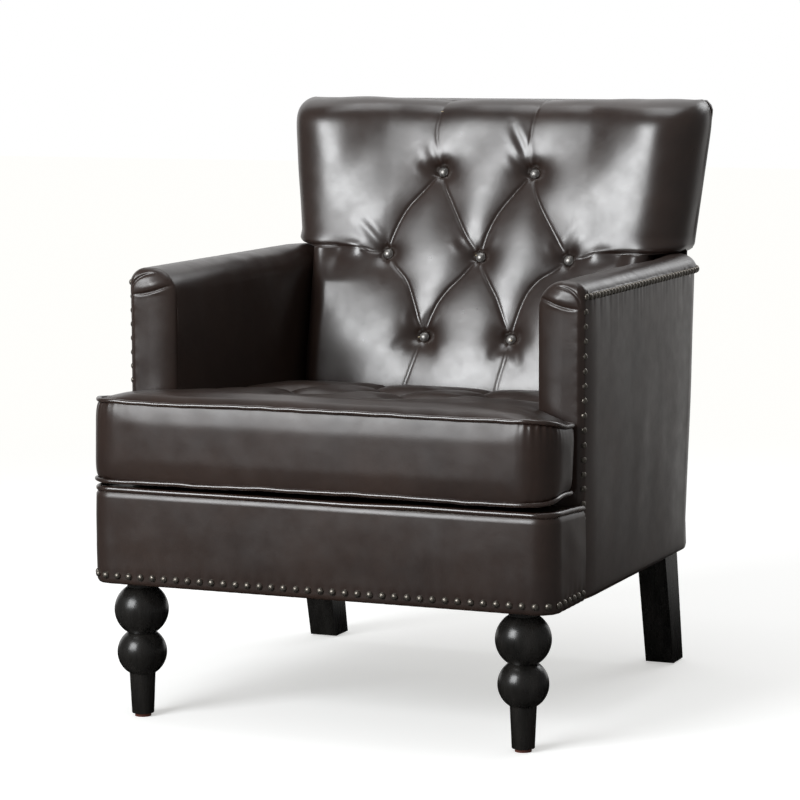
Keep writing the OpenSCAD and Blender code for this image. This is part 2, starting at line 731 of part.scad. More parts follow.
module inside_back() {
    n = len(back_cols);
    m = len(back_rows);
    front = [for (r = back_rows) for (c = back_cols) back_point(r, c)];
    edge = rim(n, m);
    k = len(edge);
    low_rows = row_cuts[2];
    front_holes = [for (h = hole_cells) row_cuts[h[1]] * n + col_cuts[h[0]]];

    hole0 = n * m;
    rear0 = hole0 + 28;
    back_hole0 = rear0 + k;
    grid0 = back_hole0 + 28;
    top0 = grid0 + 15;
    skirt0 = top0 + 5;
    cav0 = skirt0 + 4;

    jump = front[low_rows * n + n - 1];
    wing = front[(low_rows + 1) * n + n - 1];
    jump_z = jump[2] + (wing[2] - jump[2]) * (cavity_half - jump[0]) / (wing[0] - jump[0]);
    inner = [[cavity_half, jump_z], [cavity_half, cavity_top], [-cavity_half, cavity_top],
        [-cavity_half, jump_z]];
    points = concat(
        front,
        [for (h = front_holes) for (q = hole_points(front[h][0], front[h][2])) [q[0], front[h][1], q[1]]],
        [for (e = edge) let (p = front[e])
            [p[0], p[2] < wing_low_z - over / 2 ? cavity_y(p[2]) : skirt_y(p[2]), p[2]]],
        [for (h = front_holes) for (q = hole_points(front[h][0], front[h][2])) [q[0], cavity_y(q[1]), q[1]]],
        [for (z = button_z) for (i = [-2 : 2]) [i * half_pitch, cavity_y(z), z]],
        [for (i = [-2 : 2]) [i * half_pitch, cavity_y(cavity_top), cavity_top]],
        [for (q = inner) [q[0], skirt_y(q[1]), q[1]]],
        [for (q = inner) [q[0], cavity_y(q[1]), q[1]]]);

    // The tufted face, each cell split along the way in which its pleats run
    face = [for (i = [0 : m - 2]) for (j = [0 : n - 2]) let (
        a = i * n + j,
        ids = [a, a + 1, a + 1 + n, a + n],
        held = [for (q = [0 : 3]) if (len(search(ids[q], front_holes)) > 0) q],
        deep = front[ids[0]][1] + front[ids[2]][1] > front[ids[1]][1] + front[ids[3]][1] + tie,
        s = len(held) > 0 ? held[0] + 2 : deep ? 0 : 1)
        [for (t = [0 : 3]) let (q = (s + 4 - t) % 4) each corner(ids[q], q, front_holes, hole0)]];

    // The floor of the room, in cells that meet at the buttons' holes
    function floor_at(i, j) = j == 0 ? rear0 + col_cuts[i]
        : i == 0 ? rear0 + k - row_cuts[j]
        : i == 6 ? rear0 + n - 1 + row_cuts[j]
        : j == 4 ? top0 + i - 1
        : grid0 + (j - 1) * 5 + i - 1;
    floor_holes = [for (h = hole_cells) floor_at(h[0], h[1])];
    function floor_corner(i, j, q) = flip(corner(floor_at(i, j), q, floor_holes, back_hole0));
    floor_faces = [for (j = [0 : 3]) for (i = [0 : 5]) if (j < 2 || (i > 0 && i < 5)) let (
        low = j > 0 ? [] : [for (c = [col_cuts[i] + 1 : 1 : col_cuts[i + 1] - 1]) rear0 + c],
        left = i > 0 ? [] : [for (r = [row_cuts[j + 1] - 1 : -1 : row_cuts[j] + 1]) rear0 + k - r],
        right = i < 5 ? [] : [for (r = [row_cuts[j] + 1 : 1 : row_cuts[j + 1] - 1]) rear0 + n - 1 + r],
        a = floor_corner(i, j, 0),
        b = floor_corner(i + 1, j, 1),
        c = floor_corner(i, j + 1, 3),
        d = floor_corner(i + 1, j + 1, 2))
        i < 3 ? concat(d, c, left, a, low, b, right) : concat(c, left, a, low, b, right, d)];
    floor_sides = [
        concat([cav0 + 2, cav0 + 3, floor_at(0, 2)], floor_corner(1, 2, 1), [floor_at(1, 3), top0]),
        concat([cav0 + 1, top0 + 4, floor_at(5, 3)], floor_corner(5, 2, 0), [floor_at(6, 2), cav0])];

    // The rim, but for the underside of each wing
    walls = [for (i = [0 : k - 1]) let (e = edge[i], f = edge[(i + 1) % k], re = rear0 + i, rf = rear0 + (i + 1) % k,
        step = min(e, f) >= low_rows * n && max(e, f) < (low_rows + 2) * n && abs(e - f) == n)
        if (!step) each [[e, f, re], [f, rf, re]]];
    function under(s, c, near, far, rn, rf) = [cav0 + c, rn, near, far, rf, skirt0 + s];
    rn = low_rows * n + n - 1;
    ln = low_rows * n;
    right_low = rear0 + n - 1 + low_rows;
    left_low = rear0 + k - low_rows;
    undersides = [under(0, 0, rn, rn + n, right_low, right_low + 1),
        flip(under(3, 3, ln, ln + n, left_low, left_low - 1))];

    // The strip behind the wings and the top, and the sides of the room
    mid = n - 1 + m - 1 + (n - 1) / 2;
    strip = [
        concat([skirt0 + 1, skirt0], [for (i = [n - 1 + low_rows + 1 : mid]) rear0 + i]),
        [skirt0 + 1, rear0 + mid, skirt0 + 2],
        concat([skirt0 + 2], [for (i = [mid : k - low_rows - 1]) rear0 + i], [skirt0 + 3])];
    room = [
        [skirt0, skirt0 + 1, cav0 + 1, cav0],
        concat([skirt0 + 1, skirt0 + 2, cav0 + 2], [for (i = [0 : 4]) top0 + i], [cav0 + 1]),
        [skirt0 + 2, skirt0 + 3, cav0 + 3, cav0 + 2]];
    tubes = [for (h = [0 : 6]) for (e = [0 : 3]) let (f = 4 * h + e, g = 4 * h + (e + 1) % 4)
        [hole0 + f, back_hole0 + f, back_hole0 + g, hole0 + g]];

    color("#3d2f2b") polyhedron(points, fans(concat(face, floor_faces, floor_sides, walls, undersides, strip,
        room, tubes)), convexity = 10);
}

// Nail head or button: a spherical cap that looks along Z
module dome(d, h) {
    r = (d * d / 4 + h * h) / (2 * h);
    rotate_extrude() intersection() {
        translate([0, h - r]) circle(r);
        square([d / 2, h]);
    }
}

function button_face(b) = back_point([b[1], 0], [0, b[0]])[1];
button_lift = tuft_dip / 5;
module back_buttons() {
    color("#8d8276") for (b = back_buttons_at)
        translate([b[0], button_face(b) - button_lift, b[1]]) rotate([90 - face_lean, 0, 0])
            dome(button_d, button_h);
}

module button_ties() {
    color("wheat") for (b = back_buttons_at) {
        start = button_face(b) - button_lift + 3 * clear;
        translate([b[0], start, b[1]]) rotate([-90, 0, 0])
            cylinder(d = tie_d, h = cavity_y(b[1]) - clear - start);
    }
}

module back_webbing() {
    near = frame_front + clear;
    far = near + strap_t - clear;
    color("tan") {
        for (x = [-button_pitch_w, -half_pitch, 0, half_pitch, button_pitch_w])
            leaning(x - strap_w / 2, x + strap_w / 2, slat_z, post_top_z, near, far);
        for (z = button_z) leaning(-corner_x - post_w, corner_x + post_w, z - strap_w / 2, z + strap_w / 2,
            near, far);
    }
}

module back_padding() {
    color("ivory") leaning(-corner_x + leather_t + clear, corner_x - leather_t - clear, frame_z, post_top_z,
        leather_t + clear, frame_rear);
}

module outside_back() {
    low = corner_x - clear;
    mid = corner_x + post_w - clear;
    top = chair_h - leather_t;
    widths = concat(
        [[low, base_h], [low, side_top_z], [mid, side_top_z + clear], [mid, wing_low_z - clear]],
        [for (z = [wing_low_z, top - top_corner_r, top - top_corner_r / 3, top]) [wing_half(z) - leather_t, z]]);
    color("#372824") loft([for (w = widths) let (y = rear_y(w[1]), x = w[0], z = w[1])
        [[-x, y, z], [-x, y - leather_t, z], [x, y - leather_t, z], [x, y, z]]]);
}

// Nails

// Point and turn on the rail's outline at a distance from the middle of the front
rail_front_run = hw - rail_corner_r;
rail_arc_run = rail_corner_r * PI / 2;
function rail_place(s) = let (
    side = s < 0 ? -1 : 1,
    a = abs(s),
    t = min(90, max(0, (a - rail_front_run) / rail_arc_run * 90)),
    p = a < rail_front_run ? [a, front_y]
        : a < rail_front_run + rail_arc_run
        ? [rail_front_run + rail_corner_r * sin(t), front_y + rail_corner_r * (1 - cos(t))]
        : [hw, front_y + rail_corner_r + a - rail_front_run - rail_arc_run])
    [side * p[0], p[1], side * t];

module rail_nails() {
    run = rail_front_run + rail_arc_run + ear_d - rail_corner_r - nail_d;
    count = floor(2 * run / rail_nail_pitch);
    color("#6f675c") for (i = [0 : count]) {
        p = rail_place((i - count / 2) * 2 * run / count);
        translate([p[0] + clear / 3 * sin(p[2]), p[1] - clear / 3 * cos(p[2]), base_h + rail_nail_up])
            rotate([90, 0, p[2]]) dome(nail_d, nail_h);
    }
}

module side_nails() {
    low = base_h + rail_nail_up;
    high = side_top_z - side_nail_inset;
    first = arm_y + side_nail_inset;
    rows = floor((high - low) / front_nail_pitch);
    last = corner_y(high);
    cols = floor((last - first) / top_nail_pitch);
    turn = top_nail_pitch / body_corner_r * 180 / PI;
    r = body_corner_r + clear / 3;
    color("#6f675c") {
        for (i = [0 : rows - 1]) translate([corner_x + r, first, low + i * (high - low) / rows])
            rotate([0, 90, 0]) dome(nail_d, nail_h);
        for (i = [0 : cols]) translate([corner_x + r, first + i * (last - first) / cols, high])
            rotate([0, 90, 0]) dome(nail_d, nail_h);
        // Round the corner the nails lean with the cover
        for (i = [1 : floor(90 / turn)]) let (a = i * turn, tip = atan(tan(back_lean) * sin(a)))
            translate([corner_x + r * cos(a), last + r * sin(a), high])
                rotate([0, 90 + tip, a]) dome(nail_d, nail_h);
    }
}

// Underside and legs

module dust_cover() {
    x = rail_inner_x;
    y = front_rail_y;
    rear_edge = rear_y(base_h) - frame_rear;
    color("#141414") translate([0, 0, base_h]) linear_extrude(dust_t - clear) difference() {
        polygon([[-x, y + board_t / 2], [-x + board_t / 2, y], [x - board_t / 2, y], [x, y + board_t / 2],
            [x, corner_y(base_h)], [corner_x, rear_edge], [-corner_x, rear_edge], [-x, corner_y(base_h)]]);
        both_sides() translate([front_leg_x, front_leg_y]) circle(d = collar_d + 2 * clear);
        both_sides() translate([rear_leg_x - clear, rear_leg_top_y - clear])
            square([chair_w, chair_d]);
    }
}

module front_leg() {
    color("#1c1b1a") translate([front_leg_x, front_leg_y, 0]) difference() {
        union() {
            translate([0, 0, glide_t]) cylinder(d1 = foot_low_d, d2 = foot_top_d, h = foot_top_z - glide_t);
            translate([0, 0, small_ball_z]) sphere(d = small_ball_d);
            translate([0, 0, ball_z]) sphere(d = ball_d);
            translate([0, 0, ball_z]) cylinder(d = collar_d, h = frame_z - clear - ball_z);
        }
        translate([0, 0, bolt_low_z]) cylinder(d = bolt_d + 2 * clear, h = chair_h);
    }
}

module front_glides() {
    color("#6a3226") both_sides() translate([front_leg_x, front_leg_y, 0])
        cylinder(d = glide_d, h = glide_t - clear / 3);
}

module rear_leg() {
    foot_y = rear_leg_top_y + rear_leg_rake;
    top_z = base_h - clear;
    color("#1c1b1a") difference() {
        union() {
            along_x(rear_leg_x, rear_leg_x + rear_leg_w) polygon([[foot_y, rear_glide_t],
                [foot_y + rear_leg_foot_d, rear_glide_t],
                [rear_leg_top_y + rear_leg_top_d, top_z], [rear_leg_top_y, top_z]]);
            // Seat against the frame, inside the side cover's edge
            translate([0, 0, top_z]) linear_extrude(dust_t) intersection() {
                translate([rear_leg_x, rear_leg_top_y]) square([rear_leg_w, rear_leg_top_d]);
                translate([corner_x, corner_y(base_h)]) circle(body_corner_r - leather_t - 2 * clear);
            }
        }
        translate([rear_bolt_x, rear_bolt_y, bolt_low_z]) cylinder(d = bolt_d + 2 * clear, h = chair_h);
    }
}

module rear_glides() {
    foot_y = rear_leg_top_y + rear_leg_rake + rear_leg_foot_d / 2;
    color("#222222") both_sides() translate([rear_leg_mid_x, foot_y, 0])
        cylinder(d = rear_glide_d, h = rear_glide_t - clear / 3);
}

module leg_bolts() {
    rise = min(bolt_l, frame_z + block_w - bolt_low_z);
    color("silver") both_sides() {
        translate([front_leg_x, front_leg_y, bolt_low_z + clear]) cylinder(d = bolt_d, h = rise);
        translate([rear_bolt_x, rear_bolt_y, bolt_low_z + clear])
            cylinder(d = bolt_d, h = frame_z - clear - bolt_low_z);
    }
}

// Seat cushion, drawn flat with its front edge at Y 0 and its middle at Z 0

cushion_stem_half = arm_in - cushion_gap - cushion_swell;
cushion_ear_half = hw - cushion_ear_in;
cushion_start_y = front_y + cushion_swell - clear;

// Room for a welt outside the cover, and length of the cushion up to a place in the chair
welt_out = cushion_welt_d / 2 * sqrt(0.5) + clear;
welt_room = welt_out + cushion_welt_d / 2;
function length_to(y) = (y - 2 * clear - cushion_start_y - (cushion_h / 2 + welt_room) * sin(seat_slope))
    / cos(seat_slope) - welt_room;
cushion_l = length_to(front_y + seat_d);
stem_start = length_to(arm_y);
ear_end = stem_start - cushion_gap;

function round_in(d, r) = d < r ? r - sqrt(max(0, r * r - pow(r - d, 2))) : 0;
function cushion_half(y) = y < ear_end + cushion_gap / 2
    ? cushion_ear_half - round_in(y, cushion_corner_r) - round_in(ear_end - y, cushion_small_r)
    : cushion_stem_half - round_in(cushion_l - y, cushion_small_r);

tuft_half = seat_tuft_pitch_w / 2;
tuft_row_shares = [0.294, 0.529, 0.764];
tuft_y = [for (s = tuft_row_shares) s * cushion_l];
seat_tuft_pitch_l = tuft_y[1] - tuft_y[0];
seat_tufts_at = [[-tuft_half, tuft_y[0]], [tuft_half, tuft_y[0]],
    [-seat_tuft_pitch_w, tuft_y[1]], [0, tuft_y[1]], [seat_tuft_pitch_w, tuft_y[1]],
    [-tuft_half, tuft_y[2]], [tuft_half, tuft_y[2]]];
seat_pleats = concat(
    [for (a = seat_tufts_at) for (b = seat_tufts_at)
        if (b[1] > a[1] && abs(b[0] - a[0]) < seat_tuft_pitch_w && b[1] - a[1] < 1.5 * seat_tuft_pitch_l)
            [a, b]],
    [for (s = [-1, 1]) [[s * tuft_half, tuft_y[0]], [s * tuft_half, 0]]],
    [for (s = [-1, 1]) [[s * tuft_half, tuft_y[2]], [s * tuft_half, cushion_l]]],
    [for (s = [-1, 1]) [[s * seat_tuft_pitch_w, tuft_y[1]], [s * cushion_ear_half, tuft_y[1]]]]);

function crown_share(x, y) = let (
    side = cushion_ear_half + (cushion_stem_half - cushion_ear_half) * smooth(2 * y / ear_d - 1),
    dx = max(0, side - abs(x)),
    dy = max(0, min(y, cushion_l - y)),
    soft = cushion_h / 2)
    (1 - exp(-dx / soft)) * (1 - exp(-dy / soft));
function cushion_top(x, y) = cushion_h / 2 + cushion_crown * crown_share(x, y)
    - min(1, 3 * crown_share(x, y)) * drawn_in([x, y], seat_tufts_at, seat_pleats, seat_tuft_dip,
        tuft_reach, pleat_dip / 2, 1.5 * pleat_reach);

seat_cell_shares = [0, 0.15, 0.5, 0.85];
seat_outer_shares = [0.35, 0.65, 0.88, 1];
seat_front_shares = [0, 0.05, 0.14, 0.33, 0.62, 0.85, 0.95, 1];
seat_rear_shares = [0.3, 0.7, 0.86, 0.95, 1];
seat_cols = concat(
    [for (i = [len(seat_outer_shares) - 1 : -1 : 0]) [-1, seat_outer_shares[i]]],
    [for (c = [-2 : 1]) for (s = seat_cell_shares) [0, (c + s) * tuft_half]],
    [[0, 2 * tuft_half]],
    [for (s = seat_outer_shares) [1, s]]);
seat_rows = concat(
    [for (s = seat_front_shares) s * ear_end],
    [stem_start],
    [for (c = [0 : 1]) for (s = seat_cell_shares) tuft_y[0] + (c + s) * seat_tuft_pitch_l],
    [tuft_y[2]],
    [for (s = seat_rear_shares) tuft_y[2] + s * (cushion_l - tuft_y[2])]);
function seat_col_x(c, y) = c[0] == 0 ? c[1]
    : c[0] * (seat_tuft_pitch_w + c[1] * (cushion_half(y) - seat_tuft_pitch_w));

// Outline of the cushion, anticlockwise from its front left corner
cushion_edge = concat(
    [for (c = seat_cols) [seat_col_x(c, 0), 0]],
    [for (i = [1 : len(seat_rows) - 1]) [cushion_half(seat_rows[i]), seat_rows[i]]],
    [for (j = [len(seat_cols) - 2 : -1 : 0]) [seat_col_x(seat_cols[j], cushion_l), cushion_l]],
    [for (i = [len(seat_rows) - 2 : -1 : 1]) [-cushion_half(seat_rows[i]), seat_rows[i]]]);
cushion_normals = [for (i = [0 : len(cushion_edge) - 1]) let (
    k = len(cushion_edge),
    d = cushion_edge[(i + 1) % k] - cushion_edge[(i + k - 1) % k])
    [d[1], -d[0]] / norm(d)];
function grown(d) = [for (i = [0 : len(cushion_edge) - 1]) cushion_edge[i] + d * cushion_normals[i]];
function level(loop, z) = [for (p = loop) [p[0], p[1], z]];

belly_middle = [0, ear_end * 0.9];
function belly_ring(s, drop) = [for (p = cushion_edge) let (q = belly_middle + (p - belly_middle) * s)
    [q[0], q[1], -cushion_h / 2 - drop]];

// Foam core in plan, as an ear part and a stem part
core_in = cushion_cover_t + cushion_corner_r / 4;
core_h = cushion_h - 2 * cushion_cover_t;
function core_plan(grow) = let (
    ex = cushion_ear_half - core_in + grow,
    sx = cushion_stem_half - core_in + grow,
    y0 = core_in - grow,
    y1 = ear_end - cushion_cover_t + grow,
    y2 = cushion_l - core_in + grow)
    [[-ex, y0], [ex, y0], [ex, y1], [sx, y1], [sx, y2], [-sx, y2], [-sx, y1], [-ex, y1]];

zip_h = strap_t;
zip_half = seat_tuft_pitch_w - strap_w / 2;
function slot(y, x, z) = [[-x, y, z], [x, y, z], [x, y, -z], [-x, y, -z]];

// The cover is one closed skin, open to its inside through the zip's slot in the rear
module cushion_skin() {
    n = len(seat_cols);
    m = len(seat_rows);
    k = len(cushion_edge);
    top = [for (y = seat_rows) for (c = seat_cols) let (x = seat_col_x(c, y)) [x, y, cushion_top(x, y)]];
    top_edge = rim(n, m);
    rings = concat(level(grown(cushion_swell), cushion_h / 6), level(grown(cushion_swell), -cushion_h / 6),
        level(cushion_edge, -cushion_h / 2), belly_ring(0.86, cushion_belly * 0.7),
        belly_ring(0.62, cushion_belly));
    base = n * m;
    core0 = base + 5 * k;
    slot0 = core0 + 16;
    core = core_plan(clear);
    points = concat(top, rings, level(core, core_h / 2 + clear), level(core, -core_h / 2 - clear),
        slot(cushion_l + cushion_swell, zip_half, zip_h / 2), slot(core[4][1], zip_half, zip_h / 2),
        [[0, belly_middle[1], -cushion_h / 2 - cushion_belly]]);

    cover = [for (i = [0 : m - 2]) for (j = [0 : n - 2]) let (
        a = i * n + j,
        ids = [a, a + 1, a + 1 + n, a + n],
        deep = top[ids[0]][2] + top[ids[2]][2] < top[ids[1]][2] + top[ids[3]][2] - tie,
        s = deep ? 0 : 1)
        [for (t = [0 : 3]) ids[(s + 4 - t) % 4]]];
    seam = [for (i = [0 : k - 1]) let (a = top_edge[i], b = top_edge[(i + 1) % k], c = base + i,
        d = base + (i + 1) % k) each [[a, b, c], [b, d, c]]];

    // The slot takes the place of the band between two columns at the rear
    s0 = n - 1 + m - 1 + len(seat_outer_shares);
    s1 = s0 + 4 * len(seat_cell_shares);
    sides = [for (r = [0 : 3]) for (i = [0 : k - 1]) if (r > 0 || i < s0 || i >= s1)
        let (a = base + r * k + i, b = base + r * k + (i + 1) % k)
        each [[a, b, a + k], [b, b + k, a + k]]];
    // From behind, the band's points run from right to left
    zip_band = [
        concat([slot0, slot0 + 1], [for (i = [s0 : s1]) base + i]),
        concat([slot0 + 2, slot0 + 3], [for (i = [s1 : -1 : s0]) base + k + i]),
        [slot0 + 1, slot0 + 2, base + k + s0, base + s0],
        [slot0 + 3, slot0, base + s1, base + k + s1]];
    t = core0;
    l = core0 + 8;
    i0 = slot0 + 4;
    core_faces = [
        [t, t + 1, t + 2, t + 3, t + 6, t + 7], [t + 6, t + 3, t + 4, t + 5],
        [l, l + 7, l + 6, l + 3, l + 2, l + 1], [l + 5, l + 4, l + 3, l + 6],
        for (e = [0, 1, 2, 3, 5, 6, 7]) [t + e, l + e, l + (e + 1) % 8, t + (e + 1) % 8],
        [t + 4, i0 + 1, i0, t + 5], [t + 5, i0, i0 + 3, l + 5],
        [l + 5, i0 + 3, i0 + 2, l + 4], [l + 4, i0 + 2, i0 + 1, t + 4]];
    slot_faces = [for (e = [0 : 3]) let (f = (e + 1) % 4)
        [slot0 + e, i0 + e, i0 + f, slot0 + f]];
    belly = [for (i = [0 : k - 1]) [slot0 + 8, base + 4 * k + i, base + 4 * k + (i + 1) % k]];
    polyhedron(points, fans(concat(cover, seam, sides, zip_band, core_faces, slot_faces, belly)),
        convexity = 10);
}

module place_cushion() {
    translate([0, cushion_start_y, cushion_mid_h]) rotate([-seat_slope, 0, 0]) children();
}

module cushion_cover() {
    color("#3b2c28") place_cushion() cushion_skin();
}

module cushion_core() {
    color("lightyellow") place_cushion() difference() {
        translate([0, 0, -core_h / 2]) linear_extrude(core_h) polygon(core_plan(0));
        for (t = seat_tufts_at) translate([t[0], t[1], -cushion_h])
            cylinder(d = tie_d + 2 * clear, h = 2 * cushion_h);
    }
}

module cushion_zip() {
    color("#2a211f") place_cushion()
        translate([-zip_half + clear, cushion_l - core_in + 2 * clear, -zip_h / 2 + clear])
            cube([2 * zip_half - 2 * clear, core_in + cushion_swell / 2, zip_h - 2 * clear]);
}

module cushion_ties() {
    color("wheat") place_cushion() for (t = seat_tufts_at)
        translate([t[0], t[1], -core_h / 2]) cylinder(d = tie_d, h = core_h);
}

module cushion_welt(side) {
    path = grown(welt_out);
    k = len(path);
    sides = 6;
    color("#2f221f") place_cushion() {
        rings = [for (i = [0 : k - 1]) for (j = [0 : sides - 1]) let (a = 360 * j / sides, nrm = cushion_normals[i])
            [path[i][0] + nrm[0] * cos(a) * cushion_welt_d / 2, path[i][1] + nrm[1] * cos(a) * cushion_welt_d / 2,
                side * (cushion_h / 2 + welt_out) + sin(a) * cushion_welt_d / 2]];
        polyhedron(rings, [for (i = [0 : k - 1]) for (j = [0 : sides - 1]) let (
            a = i * sides + j, b = i * sides + (j + 1) % sides,
            c = ((i + 1) % k) * sides + j, d = ((i + 1) % k) * sides + (j + 1) % sides)
            each [[a, b, c], [b, d, c]]], convexity = 8);
    }
}

front_rail();
mirror([1, 0, 0]) rail_return();  // rail_return_left
rail_return();  // rail_return_right
mirror([1, 0, 0]) side_rail();  // side_rail_left
side_rail();  // side_rail_right
rear_rail();
mirror([1, 0, 0]) arm_post();  // arm_post_left
arm_post();  // arm_post_right
mirror([1, 0, 0]) arm_board();  // arm_board_left
arm_board();  // arm_board_right
mirror([1, 0, 0]) arm_slat();  // arm_slat_left
arm_slat();  // arm_slat_right
mirror([1, 0, 0]) back_post();  // back_post_left
back_post();  // back_post_right
back_top_rail();
back_middle_rail();
back_lower_rail();
corner_blocks();
seat_springs();
spring_clips();
deck_pad();
deck_cloth();
deck_band();
rail_padding();
rail_cover();
rail_welt();
mirror([1, 0, 0]) arm_pad();  // arm_pad_left
arm_pad();  // arm_pad_right
mirror([1, 0, 0]) arm_cover();  // arm_cover_left
arm_cover();  // arm_cover_right
mirror([1, 0, 0]) arm_front();  // arm_front_left
arm_front();  // arm_front_right
mirror([1, 0, 0]) side_cover();  // side_cover_left
side_cover();  // side_cover_right
inside_back();
back_buttons();
button_ties();
back_webbing();
back_padding();
outside_back();
rail_nails();
mirror([1, 0, 0]) side_nails();  // nails_left
side_nails();  // nails_right
dust_cover();
mirror([1, 0, 0]) front_leg();  // front_leg_left
front_leg();  // front_leg_right
leg_bolts();
front_glides();
mirror([1, 0, 0]) rear_leg();  // rear_leg_left
rear_leg();  // rear_leg_right
rear_glides();
cushion_cover();
cushion_core();
cushion_welt(1);  // cushion_welt_top
cushion_welt(-1);  // cushion_welt_bottom
cushion_zip();
cushion_ties();
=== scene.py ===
import bmesh
import bpy
import math
import numpy as np
from mathutils import Matrix, Vector


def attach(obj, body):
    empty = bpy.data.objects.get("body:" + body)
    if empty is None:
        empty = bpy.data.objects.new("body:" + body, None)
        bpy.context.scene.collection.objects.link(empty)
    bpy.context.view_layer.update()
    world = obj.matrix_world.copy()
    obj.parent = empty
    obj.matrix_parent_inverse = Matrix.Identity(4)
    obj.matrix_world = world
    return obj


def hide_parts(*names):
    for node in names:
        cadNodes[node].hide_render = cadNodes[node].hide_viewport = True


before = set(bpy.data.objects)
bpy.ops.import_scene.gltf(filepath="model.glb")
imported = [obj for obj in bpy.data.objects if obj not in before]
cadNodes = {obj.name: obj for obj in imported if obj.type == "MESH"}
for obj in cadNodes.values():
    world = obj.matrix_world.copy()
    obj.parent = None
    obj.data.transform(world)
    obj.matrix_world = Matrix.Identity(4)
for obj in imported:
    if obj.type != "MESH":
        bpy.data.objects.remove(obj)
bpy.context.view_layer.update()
print("frame loaded:", len(cadNodes), "nodes")

mm = 0.001  # pieces are worked out in millimetres, the scene is in metres

# Sizes that several pieces share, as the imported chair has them
body = {
    "halfWidth": 346.0, "frontY": -364.0, "armY": -238.0, "baseZ": 195.0, "railTopZ": 324.0,
    "railCornerR": 32.0, "armTopZ": 628.0, "armInX": 274.0, "armOuterR": 24.0, "armInnerR": 38.0,
    "sideTopZ": 614.0, "cornerR": 100.0, "wingZ": 629.0, "backTopZ": 857.0, "backY": 364.0,
    "leanTan": math.tan(math.radians(5.6)), "seatSlope": math.radians(3.67),
    "lowEdge": 2.2,  # the radius of the covers' lower edges
    "hang": 0.6,     # how far the covers that are turned under hang below the frame
}
cornerX = body["halfWidth"] - body["cornerR"]


def smoothStep(t):
    t = np.clip(t, 0, 1)
    return t * t * (3 - 2 * t)


def rising(value, start, run):
    # 0 up to the start, 1 from the run's end
    return smoothStep((value - start) / run)


def bell(distance, width):
    return np.exp(-(distance / width) ** 2)


def edgeRoll(lead, radius):
    # How far a rounded edge falls back at a point that is this far into its rounding
    return radius - np.sqrt(np.maximum(0, radius ** 2 - np.maximum(0, lead) ** 2))


def rearY(z):
    return body["backY"] - body["leanTan"] * (body["backTopZ"] - z)


def cornerY(z):
    return rearY(z) - body["cornerR"]


def softWaves(points, size, seed, waves=7):
    # Smooth random undulation between about -1 and 1, from a few sine waves of one size
    rng = np.random.default_rng(seed)
    total = np.zeros(points.shape[:-1])
    for _ in range(waves):
        d = rng.normal(size=3)
        d /= np.linalg.norm(d)
        total += np.sin(points @ d * (2 * math.pi / (size * rng.uniform(0.7, 1.5))) + rng.uniform(0, 6.3))
    return total / math.sqrt(waves * 0.5) * 0.6


def uneven(points, waves):
    # Several undulations in one, each with its height, size and seed
    return sum(height * softWaves(points, size, seed) for height, size, seed in waves)


# Meshes

def gridFaces(rows, cols, wrap=False):
    ids = np.arange(rows * cols).reshape(rows, cols)
    if wrap:
        ids = np.hstack([ids, ids[:, :1]])
    return np.stack([ids[:-1, :-1], ids[:-1, 1:], ids[1:, 1:], ids[1:, :-1]], -1).reshape(-1, 4)


def addObject(name, data):
    obj = bpy.data.objects.new(name, data)
    bpy.context.scene.collection.objects.link(obj)
    return obj


def newPiece(name, points, faces):
    mesh = bpy.data.meshes.new(name)
    places = (np.asarray(points, float).reshape(-1, 3) * mm).tolist()
    mesh.from_pydata(places, [], [list(map(int, f)) for f in faces])
    mesh.polygons.foreach_set("use_smooth", [True] * len(mesh.polygons))
    return addObject(name, mesh)


def appliedMesh(obj):
    return bpy.data.meshes.new_from_object(obj.evaluated_get(bpy.context.evaluated_depsgraph_get()))


def vertexValues(mesh, kind):
    values = np.empty(len(mesh.vertices) * 3)
    mesh.vertices.foreach_get(kind, values)
    return values.reshape(-1, 3)


def moveVertices(mesh, points):
    mesh.vertices.foreach_set("co", (points * mm).ravel())
    mesh.update()


def closePiece(obj, flatCaps=True):
    # Fills the open rims and turns the faces outwards
    bm = bmesh.new()
    bm.from_mesh(obj.data)
    bmesh.ops.remove_doubles(bm, verts=bm.verts, dist=1e-6)
    bmesh.ops.dissolve_degenerate(bm, edges=bm.edges, dist=1e-6)
    rims = [e for e in bm.edges if e.is_boundary]
    for rim in rims:
        rim.smooth = not flatCaps
    if rims:
        caps = bmesh.ops.holes_fill(bm, edges=rims, sides=0)["faces"]
        for cap in caps:
            cap.smooth = not flatCaps
        bmesh.ops.triangulate(bm, faces=[f for f in caps if len(f.verts) > 4])
    bmesh.ops.recalc_face_normals(bm, faces=bm.faces)
    bm.to_mesh(obj.data)
    bm.free()
    return obj


def coverPiece(name, points, thickness=2.4):
    # A leather cover: a grid of points seen from outside, with its thickness behind it
    rows, cols = points.shape[:2]
    obj = newPiece(name, points, gridFaces(rows, cols))
    ends = obj.data.attributes.new("sharp_edge", "BOOLEAN", "EDGE")
    for edge in obj.data.edges:
        a, b = sorted(edge.vertices)
        alongRow = a // cols == b // cols and a // cols in (0, rows - 1)
        alongCol = a % cols == b % cols and a % cols in (0, cols - 1)
        ends.data[edge.index].value = alongRow or alongCol
    wall = obj.modifiers.new("thickness", "SOLIDIFY")
    wall.thickness = thickness * mm
    wall.offset = -1
    wall.use_rim = True
    return obj


def sideCoverPiece(name, rows, sign):
    # A cover worked out for the right side, which the left side has mirrored
    points = np.array(rows) * (sign, 1.0, 1.0)
    return coverPiece(name, points if sign > 0 else points[:, ::-1])


def pushed(points, facings, out):
    # Points moved out, or in where it is negative, the way that they face in plan
    return np.column_stack([points[:, :2] + facings * np.reshape(out, (-1, 1)), points[:, 2]])


def atHeight(plan, z):
    return np.column_stack([plan, np.broadcast_to(z, len(plan))])


